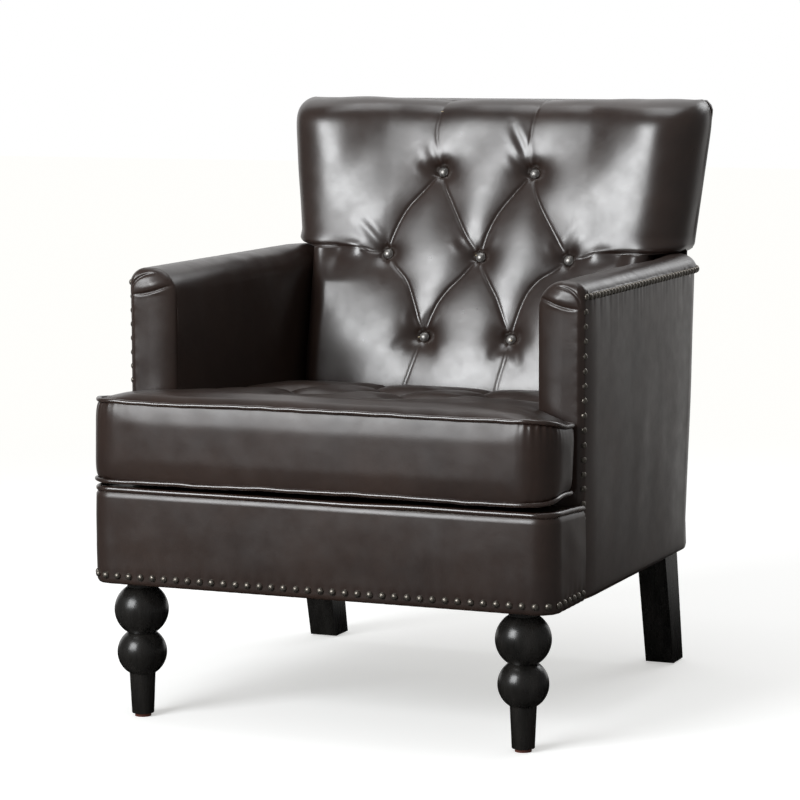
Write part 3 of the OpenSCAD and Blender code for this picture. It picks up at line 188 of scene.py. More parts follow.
def turnedUnder(rows, facings, steps):
    # The rows of a cover with those of its lower edge, which is turned under the frame
    for step in steps:
        under = pushed(rows[0], facings, -step)
        under[:, 2] = body["baseZ"] - body["hang"]
        rows.insert(0, under)
    return np.array(rows)


def tubePoints(path, radius, sides, closed):
    path = np.asarray(path, float)
    run = np.roll(path, -1, 0) - np.roll(path, 1, 0) if closed else np.gradient(path, axis=0)
    run /= np.linalg.norm(run, axis=1)[:, None]
    side = np.cross(run, (0.0, 0.0, 1.0))
    side /= np.maximum(np.linalg.norm(side, axis=1)[:, None], 1e-9)
    lift = np.cross(side, run)
    a = (np.arange(sides) * 2 * math.pi / sides)[None, :, None]
    ring = np.cos(a) * side[:, None, :] + np.sin(a) * lift[:, None, :]
    return path[:, None, :] + np.broadcast_to(radius, len(path))[:, None, None] * ring


def tubePiece(name, path, radius, sides=12, closed=False):
    n = len(path)
    faces = gridFaces(n + 1 if closed else n, sides, wrap=True)
    faces = np.where(faces >= n * sides, faces - n * sides, faces)
    return closePiece(newPiece(name, tubePoints(path, radius, sides, closed), faces), flatCaps=False)


def finishPiece(obj, material, bodyName, slotName, *replaced):
    obj.data.materials.clear()
    obj.data.materials.append(material)
    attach(obj, bodyName)
    if replaced:
        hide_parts(*replaced)
    return obj


def finishCover(obj, *replaced):
    finishPiece(obj, bodyLeather, "chair", "leather", *replaced)


# Finishes

class Nodes:
    # Short names for making the nodes of one tree and their links
    def __init__(self, tree):
        self.tree = tree

    def node(self, kind, inputs=None, **values):
        made = self.tree.nodes.new(kind)
        for key, value in values.items():
            setattr(made, key, value)
        for key, value in (inputs or {}).items():
            if isinstance(value, bpy.types.NodeSocket):
                self.tree.links.new(value, made.inputs[key])
            else:
                made.inputs[key].default_value = value
        return made

    def maths(self, kind, a, b, clamp=False):
        return self.node("ShaderNodeMath", {0: a, 1: b}, operation=kind, use_clamp=clamp).outputs[0]

    def vectors(self, kind, inputs, output=0):
        return self.node("ShaderNodeVectorMath", inputs, operation=kind).outputs[output]

    def span(self, value, low, high, fromLow=0.0, fromHigh=1.0, **values):
        return self.node("ShaderNodeMapRange", {"Value": value, "From Min": fromLow, "From Max": fromHigh,
                                                "To Min": low, "To Max": high}, **values).outputs["Result"]


class Shader(Nodes):
    # The nodes of one material
    def __init__(self, name):
        self.material = bpy.data.materials.new(name)
        self.material.use_nodes = True
        super().__init__(self.material.node_tree)
        self.surface = self.tree.nodes["Principled BSDF"]
        self.place = self.node("ShaderNodeTexCoord").outputs["Object"]

    def noise(self, scale, detail=3.0, rough=0.5, place=None):
        return self.node("ShaderNodeTexNoise", {"Vector": place or self.place, "Scale": scale,
                                                "Detail": detail, "Roughness": rough}).outputs["Fac"]

    def ramp(self, fac, stops):
        made = self.node("ShaderNodeValToRGB", {"Fac": fac})
        while len(made.color_ramp.elements) < len(stops):
            made.color_ramp.elements.new(0.5)
        for element, (at, colour) in zip(made.color_ramp.elements, stops):
            element.position = at
            element.color = (*colour, 1.0)
        return made.outputs["Color"]

    def mix(self, fac, a, b):
        made = self.node("ShaderNodeMix", data_type="RGBA")
        sockets = {s.identifier: s for s in made.inputs}
        for key, value in (("Factor_Float", fac), ("A_Color", a), ("B_Color", b)):
            if isinstance(value, bpy.types.NodeSocket):
                self.tree.links.new(value, sockets[key])
            else:
                sockets[key].default_value = value if key == "Factor_Float" else (*value, 1.0)
        return {s.identifier: s for s in made.outputs}["Result_Color"]

    def bump(self, height, strength, distance, below=None):
        inputs = {"Height": height, "Strength": strength, "Distance": distance}
        if below is not None:
            inputs["Normal"] = below
        return self.node("ShaderNodeBump", inputs).outputs["Normal"]

    def done(self, **surface):
        for key, value in surface.items():
            socket = self.surface.inputs[key.replace("_", " ")]
            if isinstance(value, bpy.types.NodeSocket):
                self.tree.links.new(value, socket)
            else:
                socket.default_value = (*value, 1.0) if isinstance(value, tuple) else value
        return self.material


# Noises have a scale, a detail and a roughness, bumps a strength and a depth in metres
leatherLook = {
    "dark": (0.0185, 0.0108, 0.0085), "base": (0.0255, 0.0147, 0.011), "warm": (0.0335, 0.019, 0.0137),
    "stops": (0.28, 0.52, 0.78), "mottle": (9.0, 5.0, 0.62), "fine": (160.0, 3.0, 0.6), "fineShare": 0.18,
    "wornShare": 0.5, "wornFrom": 0.52, "wornTo": 0.62, "sheen": (38.0, 4.0, 0.6),
    "hide": (26.0, 2.5, 0.45), "hideBump": (0.15, 0.0011), "creases": (230.0, 4.0, 0.65),
    "creaseBump": (0.07, 0.0004), "grainScale": 620.0, "grainBump": (0.10, 0.00016),
}


def leatherFinish(name, rough, refraction=1.8, drag=1.0):
    s, look = Shader(name), leatherLook
    mottle, fine = s.noise(*look["mottle"]), s.noise(*look["fine"])
    colour = s.ramp(mottle, list(zip(look["stops"], (look["dark"], look["base"], look["warm"]))))
    colour = s.mix(s.span(fine, 0.0, look["fineShare"], 0.35, 0.75), colour, look["dark"])
    worn = s.node("ShaderNodeNewGeometry").outputs["Pointiness"]
    worn = s.span(worn, 0.0, look["wornShare"], look["wornFrom"], look["wornTo"])
    colour = s.mix(worn, colour, look["warm"])
    roughness = s.span(s.noise(*look["sheen"]), *rough, 0.25, 0.75)
    # Broad unevenness of the hide, then its creases and its grain
    strength, depth = look["hideBump"]
    relief = s.bump(s.noise(*look["hide"]), strength * drag, depth)
    relief = s.bump(s.noise(*look["creases"]), *look["creaseBump"], relief)
    grain = s.node("ShaderNodeTexVoronoi", {"Vector": s.place, "Scale": look["grainScale"]})
    relief = s.bump(grain.outputs["Distance"], *look["grainBump"], relief)
    return s.done(Base_Color=colour, Roughness=roughness, IOR=refraction, Normal=relief)


def plainFinish(name, colours, scale, rough, depth=0.0004, stretch=(1.0, 1.0, 1.0), metallic=0.0):
    s = Shader(name)
    place = s.node("ShaderNodeMapping", {"Vector": s.place, "Scale": stretch}).outputs["Vector"]
    grain = s.noise(scale, 4.0, 0.6, place)
    colour = s.ramp(grain, [(0.3, colours[0]), (0.7, colours[1])])
    roughness = s.span(s.noise(scale * 2.3, 3.0, 0.5, place), *rough, 0.25, 0.75)
    return s.done(Base_Color=colour, Roughness=roughness, Metallic=metallic, Normal=s.bump(grain, 0.5, depth))


def wovenFinish(name, colours, pitch, depth=0.0003):
    # Over-and-under weave from two crossed bands
    s = Shader(name)
    wave = {"Vector": s.place, "Scale": 1.0 / pitch, "Distortion": 0.6, "Detail": 1.0}
    across, along, up = (s.node("ShaderNodeTexWave", wave, wave_type="BANDS",
                                bands_direction=d).outputs["Fac"] for d in ("X", "Y", "Z"))
    crossed = s.maths("ADD", s.maths("MULTIPLY", across, along), up)
    colour = s.mix(s.span(s.noise(900.0, 2.0), 0.0, 1.0, 0.3, 0.7), *colours)
    return s.done(Base_Color=colour, Roughness=0.88, Normal=s.bump(crossed, 0.6, depth))


seatLeather = leatherFinish("seatLeather", (0.29, 0.38), refraction=1.5)
backLeather = leatherFinish("backLeather", (0.27, 0.37), drag=1.7)
bodyLeather = leatherFinish("bodyLeather", (0.30, 0.40), refraction=1.62)
weltLeather = leatherFinish("weltLeather", (0.22, 0.31), drag=0.6)
nailBronze = plainFinish("nailBronze", [(0.09, 0.08, 0.068), (0.32, 0.29, 0.25)], 420.0, (0.32, 0.48),
                         metallic=0.9)
buttonBronze = plainFinish("buttonBronze", [(0.19, 0.18, 0.17), (0.40, 0.385, 0.365)], 300.0, (0.34, 0.46),
                           metallic=0.85)
blackWood = plainFinish("blackWood", [(0.006, 0.0056, 0.005), (0.017, 0.0155, 0.014)], 60.0, (0.2, 0.33),
                        depth=0.00012, stretch=(1.0, 1.0, 0.12))
boardWood = plainFinish("boardWood", [(0.42, 0.27, 0.14), (0.60, 0.43, 0.25)], 90.0, (0.6, 0.8),
                        stretch=(1.0, 0.12, 0.3))
battingFinish = plainFinish("batting", [(0.72, 0.70, 0.64), (0.86, 0.84, 0.78)], 240.0, (0.9, 1.0),
                            depth=0.002)
foamFinish = plainFinish("foam", [(0.74, 0.66, 0.40), (0.86, 0.79, 0.55)], 500.0, (0.85, 0.98), depth=0.0006)
springFinish = plainFinish("springWire", [(0.10, 0.10, 0.105), (0.22, 0.22, 0.23)], 300.0, (0.32, 0.5),
                           metallic=0.9)
zincFinish = plainFinish("zincPlate", [(0.42, 0.43, 0.45), (0.62, 0.62, 0.62)], 200.0, (0.25, 0.42),
                         metallic=1.0)
glideFinish = plainFinish("redGlide", [(0.085, 0.022, 0.014), (0.14, 0.040, 0.024)], 250.0, (0.4, 0.55))
darkGlideFinish = plainFinish("darkGlide", [(0.02,) * 3, (0.045,) * 3], 250.0, (0.45, 0.6))
webbingFinish = wovenFinish("webbing", [(0.40, 0.31, 0.19), (0.58, 0.48, 0.33)], 0.0035, 0.0008)
twineFinish = wovenFinish("twine", [(0.50, 0.41, 0.26), (0.70, 0.60, 0.42)], 0.0012, 0.0004)
dustFinish = wovenFinish("dustCloth", [(0.010,) * 3, (0.022,) * 3], 0.0016)
deckFinish = wovenFinish("deckCloth", [(0.018, 0.016, 0.015), (0.032, 0.029, 0.027)], 0.0018)
zipFinish = wovenFinish("zipTape", [(0.02, 0.014, 0.012), (0.045, 0.034, 0.03)], 0.0015)
print("finishes made")


def pairs(*names):
    return [name + side for name in names for side in ("_left", "_right")]


carriedOver = {
    boardWood: ["front_rail", "rear_rail", "back_top_rail", "back_middle_rail", "back_lower_rail",
                "corner_blocks", *pairs("rail_return", "side_rail", "arm_post", "arm_board", "arm_slat",
                                        "back_post")],
    springFinish: ["seat_springs"],
    zincFinish: ["spring_clips", "leg_bolts"],
    battingFinish: ["deck_pad", "rail_padding", "back_padding", *pairs("arm_pad")],
    deckFinish: ["deck_cloth"],
    bodyLeather: ["deck_band"],
    twineFinish: ["button_ties", "cushion_ties"],
    webbingFinish: ["back_webbing"],
    dustFinish: ["dust_cover"],
    blackWood: pairs("front_leg", "rear_leg"),
    glideFinish: ["front_glides"],
    darkGlideFinish: ["rear_glides"],
    foamFinish: ["cushion_core"],
    zipFinish: ["cushion_zip"],
}
for finish, names in carriedOver.items():
    for name in names:
        node = cadNodes[name]
        if node.material_slots:
            for place in node.material_slots:
                place.material = finish
        else:
            node.data.materials.append(finish)


# Studs: one tree makes the nails and the back's buttons

studCut = -0.45  # a stud is what is above this height of a ball of radius 1
studSockets = {"Geometry": "Geometry", "Diameter": "Float", "Height": "Float", "Sides": "Int", "Rings": "Int",
               "Tilt": "Float", "Seed": "Int", "Finish": "Material"}


def studTree():
    tree = bpy.data.node_groups.new("studsOnPlaces", "GeometryNodeTree")
    for label, kind in studSockets.items():
        tree.interface.new_socket(label, in_out="INPUT", socket_type="NodeSocket" + kind)
    tree.interface.new_socket("Geometry", in_out="OUTPUT", socket_type="NodeSocketGeometry")
    g = Nodes(tree)
    given = g.node("NodeGroupInput").outputs

    def step(kind, inputs, **values):
        return g.node(kind, inputs, **values).outputs[0]

    # The dome of a ball, as wide and as high as it is asked to be
    ball = step("GeometryNodeMeshUVSphere", {"Segments": given["Sides"], "Rings": given["Rings"]})
    height = g.node("ShaderNodeSeparateXYZ", {0: step("GeometryNodeInputPosition", {})}).outputs["Z"]
    below = g.maths("LESS_THAN", height, studCut)
    dome = step("GeometryNodeDeleteGeometry", {"Geometry": ball, "Selection": below})
    half = g.maths("MULTIPLY", given["Diameter"], 0.5)
    size = step("ShaderNodeCombineXYZ", {"X": half, "Y": half, "Z": given["Height"]})
    stud = step("GeometryNodeTransform", {"Geometry": dome, "Scale": size})

    # It faces the way its place does, a little off true
    facing = step("GeometryNodeInputNamedAttribute", {"Name": "facing"}, data_type="FLOAT_VECTOR")
    jitter = step("FunctionNodeRandomValue", {"Seed": given["Seed"], 0: (-1.0,) * 3, 1: (1.0,) * 3},
                  data_type="FLOAT_VECTOR")
    tilt = g.vectors("SCALE", {0: jitter, "Scale": given["Tilt"]})
    leaning = g.vectors("ADD", {0: facing, 1: tilt})
    turned = step("FunctionNodeAlignRotationToVector", {"Vector": leaning}, axis="Z")

    made = step("GeometryNodeInstanceOnPoints", {"Points": given["Geometry"], "Instance": stud,
                                                 "Rotation": turned})
    made = step("GeometryNodeRealizeInstances", {0: made})
    made = step("GeometryNodeSetShadeSmooth", {0: made})
    made = step("GeometryNodeSetMaterial", {"Geometry": made, "Material": given["Finish"]})
    g.node("NodeGroupOutput", {0: made})
    return tree


studs = studTree()
studInputs = {item.name: item.identifier for item in studs.interface.items_tree
              if item.item_type == "SOCKET" and item.in_out == "INPUT"}


def studRow(name, places, facings, settings, finish):
    holder = newPiece(name + "Places", places, [])
    facing = holder.data.attributes.new("facing", "FLOAT_VECTOR", "POINT")
    facing.data.foreach_set("vector", np.asarray(facings, np.float32).ravel())
    made = holder.modifiers.new("studs", "NODES")
    made.node_group = studs
    for label, value in {**settings, "Finish": finish}.items():
        made[studInputs[label]] = value
    mesh = appliedMesh(holder)
    bpy.data.objects.remove(holder)
    return closePiece(addObject(name, mesh), flatCaps=False)


nailSize = {"Diameter": 0.0098, "Height": 0.0036, "Sides": 10, "Rings": 8, "Tilt": 0.12, "Seed": 4}
buttonSize = {"Diameter": 0.0158, "Height": 0.0062, "Sides": 28, "Rings": 18, "Tilt": 0.05, "Seed": 9}


# Front rail

rail = {
    "step": 3.5, "fineStep": 0.5,   # distances between points along the rail
    "rows": 34, "armGap": 0.3, "bulge": 1.6, "sink": 0.5, "under": (5.8, 11.8),
    "nailZ": 207.0, "nailRun": 18.0, "nailEnd": 9.5, "nailOut": 0.2, "dimple": 0.9, "dimpleReach": 7.0,
    "pull": 0.35, "pullReach": 11.0, "waves": [(1.1, 190.0, 3), (0.35, 60.0, 5)],
    "weltRadius": 4.1, "weltIn": 4.0, "weltLift": 4.1, "weltWaves": [(0.5, 120.0, 8)], "weltUneven": 0.03,
}


def railRun(step):
    # Places along the rail in plan with the way they face, from the left arm round to the right arm
    half, r, y0 = body["halfWidth"], body["railCornerR"], body["frontY"]
    endY = body["armY"] - rail["armGap"]
    straight, bend = endY - (y0 + r), math.pi / 2 * r
    total = 2 * straight + 2 * bend + 2 * (half - r)
    alongs = np.linspace(0, total, int(total / step) + 1)
    line = []
    for a in alongs:
        sign, b = (-1, a) if a < total / 2 else (1, total - a)
        if b < straight:
            x, y, nx, ny = half, endY - b, 1.0, 0.0
        elif b < straight + bend:
            nx, ny = math.cos((b - straight) / r), -math.sin((b - straight) / r)
            x, y = half - r + r * nx, y0 + r + r * ny
        else:
            x, y, nx, ny = half - r - (b - straight - bend), y0, 0.0, -1.0
        line.append((sign * x, y, sign * nx, ny))
    return np.array(line)[:, :2], np.array(line)[:, 2:], alongs


def railFall(y):
    return math.tan(body["seatSlope"]) * np.maximum(0, y - (body["frontY"] + body["railCornerR"]))


railLine, railFacings, railAlong = railRun(rail["step"])
nailLine, nailFacings, nailAlong = railRun(rail["fineStep"])
nailSpan = nailAlong[-1] - 2 * rail["nailEnd"]
nailCount = int(nailSpan / rail["nailRun"])
nailAt = rail["nailEnd"] + np.arange(nailCount + 1) * nailSpan / nailCount
nailIds = [int(np.argmin(abs(nailAlong - a))) for a in nailAt]

railTop = body["railTopZ"] - railFall(railLine[:, 1])
railRows = []
for share in np.linspace(0, 1, rail["rows"]):
    z = body["baseZ"] + share * (railTop - body["baseZ"])
    middle = np.sin(math.pi * share)
    near = np.min(np.hypot(railAlong[:, None] - nailAt, z[:, None] - rail["nailZ"]), axis=1)
    # The nails draw the leather in, and it is pulled between them, less so higher up
    pull = np.cos(2 * math.pi * (railAlong - nailAt[0]) / (nailAt[1] - nailAt[0]))
    out = rail["bulge"] * middle ** 0.8 - rail["sink"] - rail["dimple"] * bell(near, rail["dimpleReach"])
    out -= rail["pull"] * pull * np.exp(-np.maximum(0, z - rail["nailZ"]) / rail["pullReach"])
    for away in (z - body["baseZ"], railTop - z):
        out -= edgeRoll(body["lowEdge"] - away, body["lowEdge"])
    p = atHeight(railLine, z)
    railRows.append(pushed(p, railFacings, out + middle * uneven(p, rail["waves"])))
railCover = coverPiece("railCover", turnedUnder(railRows, railFacings, rail["under"]))
finishCover(railCover, "rail_cover")

path = pushed(atHeight(railLine, railTop + rail["weltLift"]), railFacings, -rail["weltIn"])
path[:, 2] += uneven(path, rail["weltWaves"])
radii = rail["weltRadius"] * (1 + rail["weltUneven"] * softWaves(path, 26.0, 12))
finishPiece(tubePiece("railWelt", path, radii, 14), weltLeather, "chair", "welt_leather", "rail_welt")

places = pushed(atHeight(nailLine, rail["nailZ"]), nailFacings, rail["nailOut"])[nailIds]
railNails = studRow("railNails", places, atHeight(nailFacings[nailIds], 0), nailSize, nailBronze)
finishPiece(railNails, nailBronze, "chair", "nail_metal", "rail_nails")
print("front rail made")


# Arms: cover, padded front with its pulled folds, outer side with its nails

arm = {
    "lowZ": 329.0,
    # the middle line that the cover's padding swells away from, along the arm and round the corner
    "swellX": 311.0, "swellZ": 585.0, "cornerSwellZ": 560.0,
    "coverWaves": [(0.8, 150.0, 21), (0.35, 48.0, 23)], "coverReach": 17.0,
    "nailTopZ": 607.0, "nailY": -229.5, "nailLean": 6.5, "columnRun": 19.5, "topRun": 13.0,
    "columnIn": 1.3, "columnFacing": (0.95, -0.31, 0.0), "topOut": 0.2, "topFacing": (1.0, 0.0, 0.08),
    "pucker": 0.5, "puckerReach": 22.0,
    "rollStartY": -190.0, "rollRun": 48.0, "roll": 4.2,
}
armFront = {
    "deep": 14.0, "lowZ": 329.5, "bendZ": 560.0, "topZ": 616.0, "topRun": 12.0, "inset": 3.2, "crown": 2.4,
    # the rounding at each of its edges, as distances over the face
    "innerRound": 40.0, "outerRound": 12.0, "outerPast": 2.5, "topRound": 20.0,
    "folds": [
        {"line": [(280, 604), (290, 601), (304, 596), (321, 592), (334, 591)], "depth": 3.6, "lip": 2.2},
        {"line": [(304, 621), (316, 619), (327, 614), (335, 606), (338, 596)], "depth": 2.4, "lip": 0.8},
    ],
    "foldWidth": 1.5, "gather": 0.8, "gatherWidth": 4.5, "gatherReach": 9.0,
    "dropX": 292.0, "dropZ": 340.0, "dropRun": 8.0, "drop": 11.0,   # its lower edge goes down to the cushion
}
outerSide = {
    "bendZ": 520.0, "armGap": 0.2, "bulge": 1.0, "sink": 0.4, "frontEdge": 5.0, "topEdge": 3.5,
    "streakSize": 70.0, "streak": 0.3, "streakLength": 0.25, "wave": 0.7, "waveSize": 240.0,
    # it eases in towards the rear corner, but not at its foot
    "ease": 3.2, "easeFromY": 90.0, "easeFootZ": 196.0, "easeRise": 40.0,
    "foot": 0.3, "footZ": 245.0, "footRise": 50.0, "under": (5.0, 12.0),
}


def polylineDistance(px, pz, line):
    # Distance to a polyline, the side of it that a point is on and how far along it, from 0 to 1
    best = np.full(px.shape, 1e9)
    side = np.zeros(px.shape)
    share = np.zeros(px.shape)
    total = 0.0
    spans = [math.hypot(b[0] - a[0], b[1] - a[1]) for a, b in zip(line, line[1:])]
    for a, b, span in zip(line, line[1:], spans):
        dx, dz = b[0] - a[0], b[1] - a[1]
        t = np.clip(((px - a[0]) * dx + (pz - a[1]) * dz) / (span * span), 0, 1)
        d = np.hypot(px - a[0] - t * dx, pz - a[1] - t * dz)
        nearer = d < best
        side = np.where(nearer, np.sign(dx * (pz - a[1]) - dz * (px - a[0])), side)
        share = np.where(nearer, (total + t * span) / sum(spans), share)
        best = np.minimum(best, d)
        total += span
    return best, side, share


def curved(points, steps=8):
    # Catmull-Rom points through a few given ones
    p = np.array(points, float)
    p = np.vstack([2 * p[0] - p[1], p, 2 * p[-1] - p[-2]])
    out = []
    for a, b, c, d in zip(p, p[1:], p[2:], p[3:]):
        for t in np.linspace(0, 1, steps, endpoint=False):
            bend = (2 * a - 5 * b + 4 * c - d) * t * t + (3 * b - a - 3 * c + d) * t ** 3
            out.append(tuple(0.5 * (2 * b + (c - a) * t + bend)))
    return out + [tuple(p[-2])]


def armProfile():
    # Section of the arm in X and Z, from the inner side's foot over the top to the outer edge
    inX, r1, r2, top = body["armInX"], body["armInnerR"], body["armOuterR"], body["armTopZ"]
    outX = body["halfWidth"] - r2
    end = math.acos((body["sideTopZ"] - outerSide["topEdge"] - (top - r2)) / r2)
    foot = np.linspace(arm["lowZ"], top - r1, 34)[:-1]
    a, b = np.linspace(0, math.pi / 2, 18), np.linspace(0, end, 14)
    x = np.concatenate([np.full_like(foot, inX), inX + r1 - r1 * np.cos(a), outX + r2 * np.sin(b)])
    return x, np.concatenate([foot, top - r1 + r1 * np.sin(a), top - r2 + r2 * np.cos(b)])


def puckers(along, height, nailPlaces, edge, reach, seed):
    # Small gathers that start at the nail row and fade away from it
    rng = np.random.default_rng(seed)
    value = np.zeros(along.shape)
    for a in nailPlaces:
        deep, wide, far = rng.uniform(0.2, 1.3), rng.uniform(3.2, 6.0), reach * rng.uniform(0.35, 1.3)
        shift = rng.normal() * 3.0
        value -= deep * bell(along - a - shift, wide) * np.exp(-np.abs(height - edge) / far)
    return value


sideRowStart, sideRowEnd = arm["nailY"], cornerY(arm["nailTopZ"])
topCount = int((sideRowEnd - sideRowStart) / arm["topRun"])
topNailY = np.linspace(sideRowStart, sideRowEnd, topCount + 1)
cornerNails = arm["topRun"] * np.arange(1, int(math.pi / 2 * body["cornerR"] / arm["topRun"]) + 1)
topAlong = np.concatenate([topNailY, sideRowEnd + cornerNails])
columnRise = arm["nailTopZ"] - rail["nailZ"]
columnCount = int(columnRise / arm["columnRun"])
columnZ = rail["nailZ"] + np.arange(columnCount) * columnRise / columnCount


def sideRound(y):
    # How far the side's padding rolls in towards its front edge
    return arm["roll"] * np.clip((arm["rollStartY"] - y) / arm["rollRun"], 0, 1) ** 2


def makeArmCover(sign, label):
    # Straight along the arm, then round the rear corner
    x, z = armProfile()
    section = np.concatenate([[0], np.cumsum(np.hypot(np.diff(x), np.diff(z)))])
    still = rising(section, section[-1] - 60, 30)   # no swelling by the nails
    endY = cornerY(body["armTopZ"])
    stations = [(y, None) for y in np.linspace(body["armY"] + armFront["deep"], endY, 110)]
    stations += [(endY, a) for a in np.linspace(0, math.pi / 2, 22)[1:]]
    rows = []
    for y, a in stations:
        if a is None:
            row = np.stack([x, np.full_like(x, y), z], -1)
            face = np.stack([x - arm["swellX"], np.zeros_like(x), z - arm["swellZ"]], -1)
            along = y
        else:
            dx, dy = (x - cornerX) * math.cos(a), (x - cornerX) * math.sin(a)
            row = np.stack([cornerX + dx, y + dy, z], -1)
            face = np.stack([dx, dy, z - arm["cornerSwellZ"]], -1)
            along = y + a * body["cornerR"]
        face /= np.linalg.norm(face, axis=1)[:, None]
        gather = puckers(np.full(len(x), along), section, topAlong, section[-1], arm["coverReach"], 31 + sign)
        out = uneven(row, arm["coverWaves"]) * (1 - still) + gather * 2 * arm["pucker"]
        rows.append(row + face * out[:, None])
    piece = sideCoverPiece("armCover" + label.capitalize(), rows, sign)
    finishCover(piece, "arm_cover_" + label)


def frontDepth(x, z, outX):
    # Depth of the inflated panel, before its folds: rounded towards its sides and round its top corners
    half, inX, r1, r2, top = (body[k] for k in ("halfWidth", "armInX", "armInnerR", "armOuterR", "armTopZ"))
    inner, outer, topRound = armFront["innerRound"], armFront["outerRound"], armFront["topRound"]
    share = np.minimum((x - inX) / inner, (outX + armFront["outerPast"] - x) / outer)
    share = np.minimum(share, (top - z) / topRound)
    innerX, innerZ = inX + r1 - x, z - top + r1
    turn = np.arctan2(innerZ, np.maximum(innerX, 1e-6)) / (math.pi / 2)
    corner = (r1 - np.hypot(innerX, innerZ)) / (inner + (topRound - inner) * turn)
    share = np.where((innerX > 0) & (innerZ > 0), corner, share)
    outerX, outerZ = x - half + r2, z - top + r2
    corner = (r2 - np.hypot(outerX, outerZ)) / outer
    share = np.where((outerX > 0) & (outerZ > 0), np.minimum(share, corner), share)
    share = np.clip(share, 0, 1)
    return (armFront["deep"] - 0.5) * edgeRoll(1 - share, 1) - armFront["crown"] * smoothStep(share)


def makeArmFront(sign, label):
    half, inX, r1, r2, top = (body[k] for k in ("halfWidth", "armInX", "armInnerR", "armOuterR", "armTopZ"))
    outX = half - armFront["inset"]
    bendZ, topZ = armFront["bendZ"], armFront["topZ"]
    heights = np.concatenate([np.linspace(armFront["lowZ"], bendZ, 76)[:-1],
                              np.linspace(bendZ, topZ, 40)[:-1],
                              topZ + armFront["topRun"] * np.sin(np.linspace(0, math.pi / 2, 16))])
    even = np.linspace(-1, 1, 61)
    across = 0.55 * np.sin(even * math.pi / 2) + 0.45 * even
    z = heights[:, None] + 0 * across
    left = inX + edgeRoll(z - top + r1, r1)
    right = np.where(z > top - r2, np.minimum(outX + 0.2, half - edgeRoll(z - top + r2, r2)), outX)
    x = (left + right) / 2 + across * (right - left) / 2
    y = body["armY"] + frontDepth(x, z, outX)
    for fold in armFront["folds"]:
        away, side, share = polylineDistance(x, z, curved(fold["line"]))
        fade = np.sin(math.pi * np.clip(share, 0.03, 0.97)) ** 0.5
        y += fade * fold["depth"] * bell(away, armFront["foldWidth"])
        lower = 0.2 * bell(away - 4, 2.6) * (side < 0)
        y -= fade * np.where(side > 0, fold["lip"] * bell(away - 8, 7.0), lower)
    # Small gathers beside the nail column
    near = np.min(np.abs(z[..., None] - columnZ), axis=-1)
    y += armFront["gather"] * bell(near, armFront["gatherWidth"]) * bell(outX - x, armFront["gatherReach"])
    drop = np.clip((armFront["dropZ"] - z) / armFront["dropRun"], 0, 1)
    z = z - armFront["drop"] * rising(x, armFront["dropX"], armFront["dropRun"]) * drop
    front = np.stack([x, y, z], -1)
    front[..., 1] += 0.5 * softWaves(front, 90.0, 41 + sign)

    # Its rim goes straight back to the arm's cover
    ids = np.arange(x.size).reshape(x.shape)
    rim = np.concatenate([ids[0], ids[1:, -1], ids[-1, -2::-1], ids[-2:0:-1, 0]])
    points = front.reshape(-1, 3)
    rear = points[rim].copy()
    rear[:, 1] = body["armY"] + armFront["deep"] + 0.6
    rearIds = x.size + np.arange(len(rim))
    wall = np.stack([rim, np.roll(rim, -1), np.roll(rearIds, -1), rearIds], -1)
    faces = np.vstack([gridFaces(*x.shape), wall])
    points = np.vstack([points, rear]) * (sign, 1.0, 1.0)
    piece = closePiece(newPiece("armFront" + label.capitalize(), points, faces))
    finishCover(piece, "arm_front_" + label)


def makeSide(sign, label):
    # Flat along the arm, then round the rear corner, which leans with the back
    own = outerSide
    heights = np.concatenate([np.linspace(body["baseZ"], own["bendZ"], 60)[:-1],
                              np.linspace(own["bendZ"], body["sideTopZ"], 36)])
    straight = np.linspace(0, 1, 190)
    angles = np.linspace(0, math.pi / 2, 44)[1:]
    bend = np.column_stack([np.cos(angles), np.sin(angles)])
    facings = np.vstack([np.tile((1.0, 0.0), (len(straight), 1)), bend])
    rows = []
    for z in heights:
        startY, endY = body["armY"] + own["armGap"], cornerY(z)
        ys = startY + straight * (endY - startY)
        flat = np.column_stack([body["halfWidth"] - sideRound(ys), ys])
        plan = np.vstack([flat, (cornerX, endY) + body["cornerR"] * bend])
        along = np.concatenate([ys, endY + angles * body["cornerR"]])
        p = atHeight(plan, z)
        share = (z - body["baseZ"]) / (body["sideTopZ"] - body["baseZ"])
        streaks = softWaves(p * (1, 1, own["streakLength"]), own["streakSize"], 51)
        waves = own["streak"] * streaks + own["wave"] * softWaves(p, own["waveSize"], 52)
        gather = puckers(along, np.full(len(p), z), topAlong, arm["nailTopZ"], arm["puckerReach"], 61 + sign)
        out = own["bulge"] * math.sin(math.pi * min(1, share)) ** 0.7 - own["sink"]
        out = out + waves * math.sin(math.pi * share) + arm["pucker"] * gather
        out -= edgeRoll(0.9 * (body["lowEdge"] - (z - body["baseZ"])), body["lowEdge"])
        out -= edgeRoll(own["topEdge"] - (body["sideTopZ"] - z), own["topEdge"])
        out[:len(ys)] -= edgeRoll(own["frontEdge"] - (ys - startY), own["frontEdge"])
        ease = own["ease"] * np.clip((z - own["easeFootZ"]) / own["easeRise"], 0, 1)
        easeRun = max(60.0, endY - own["easeFromY"])
        out[:len(ys)] -= ease * np.clip((ys - own["easeFromY"]) / easeRun, 0, 1) ** 2
        out[len(ys):] -= ease * (1 - rising(angles, 0.35, 0.7))
        foot = own["foot"] * np.clip((own["footZ"] - z) / own["footRise"], 0, 1) ** 2
        out[len(ys):] -= foot * rising(angles, 0, 0.2) * (1 - rising(angles, 0.45, 0.35))
        rows.append(pushed(p, facings, out))
    piece = sideCoverPiece("sideCover" + label.capitalize(), turnedUnder(rows, facings, own["under"]), sign)
    finishCover(piece, "side_cover_" + label)


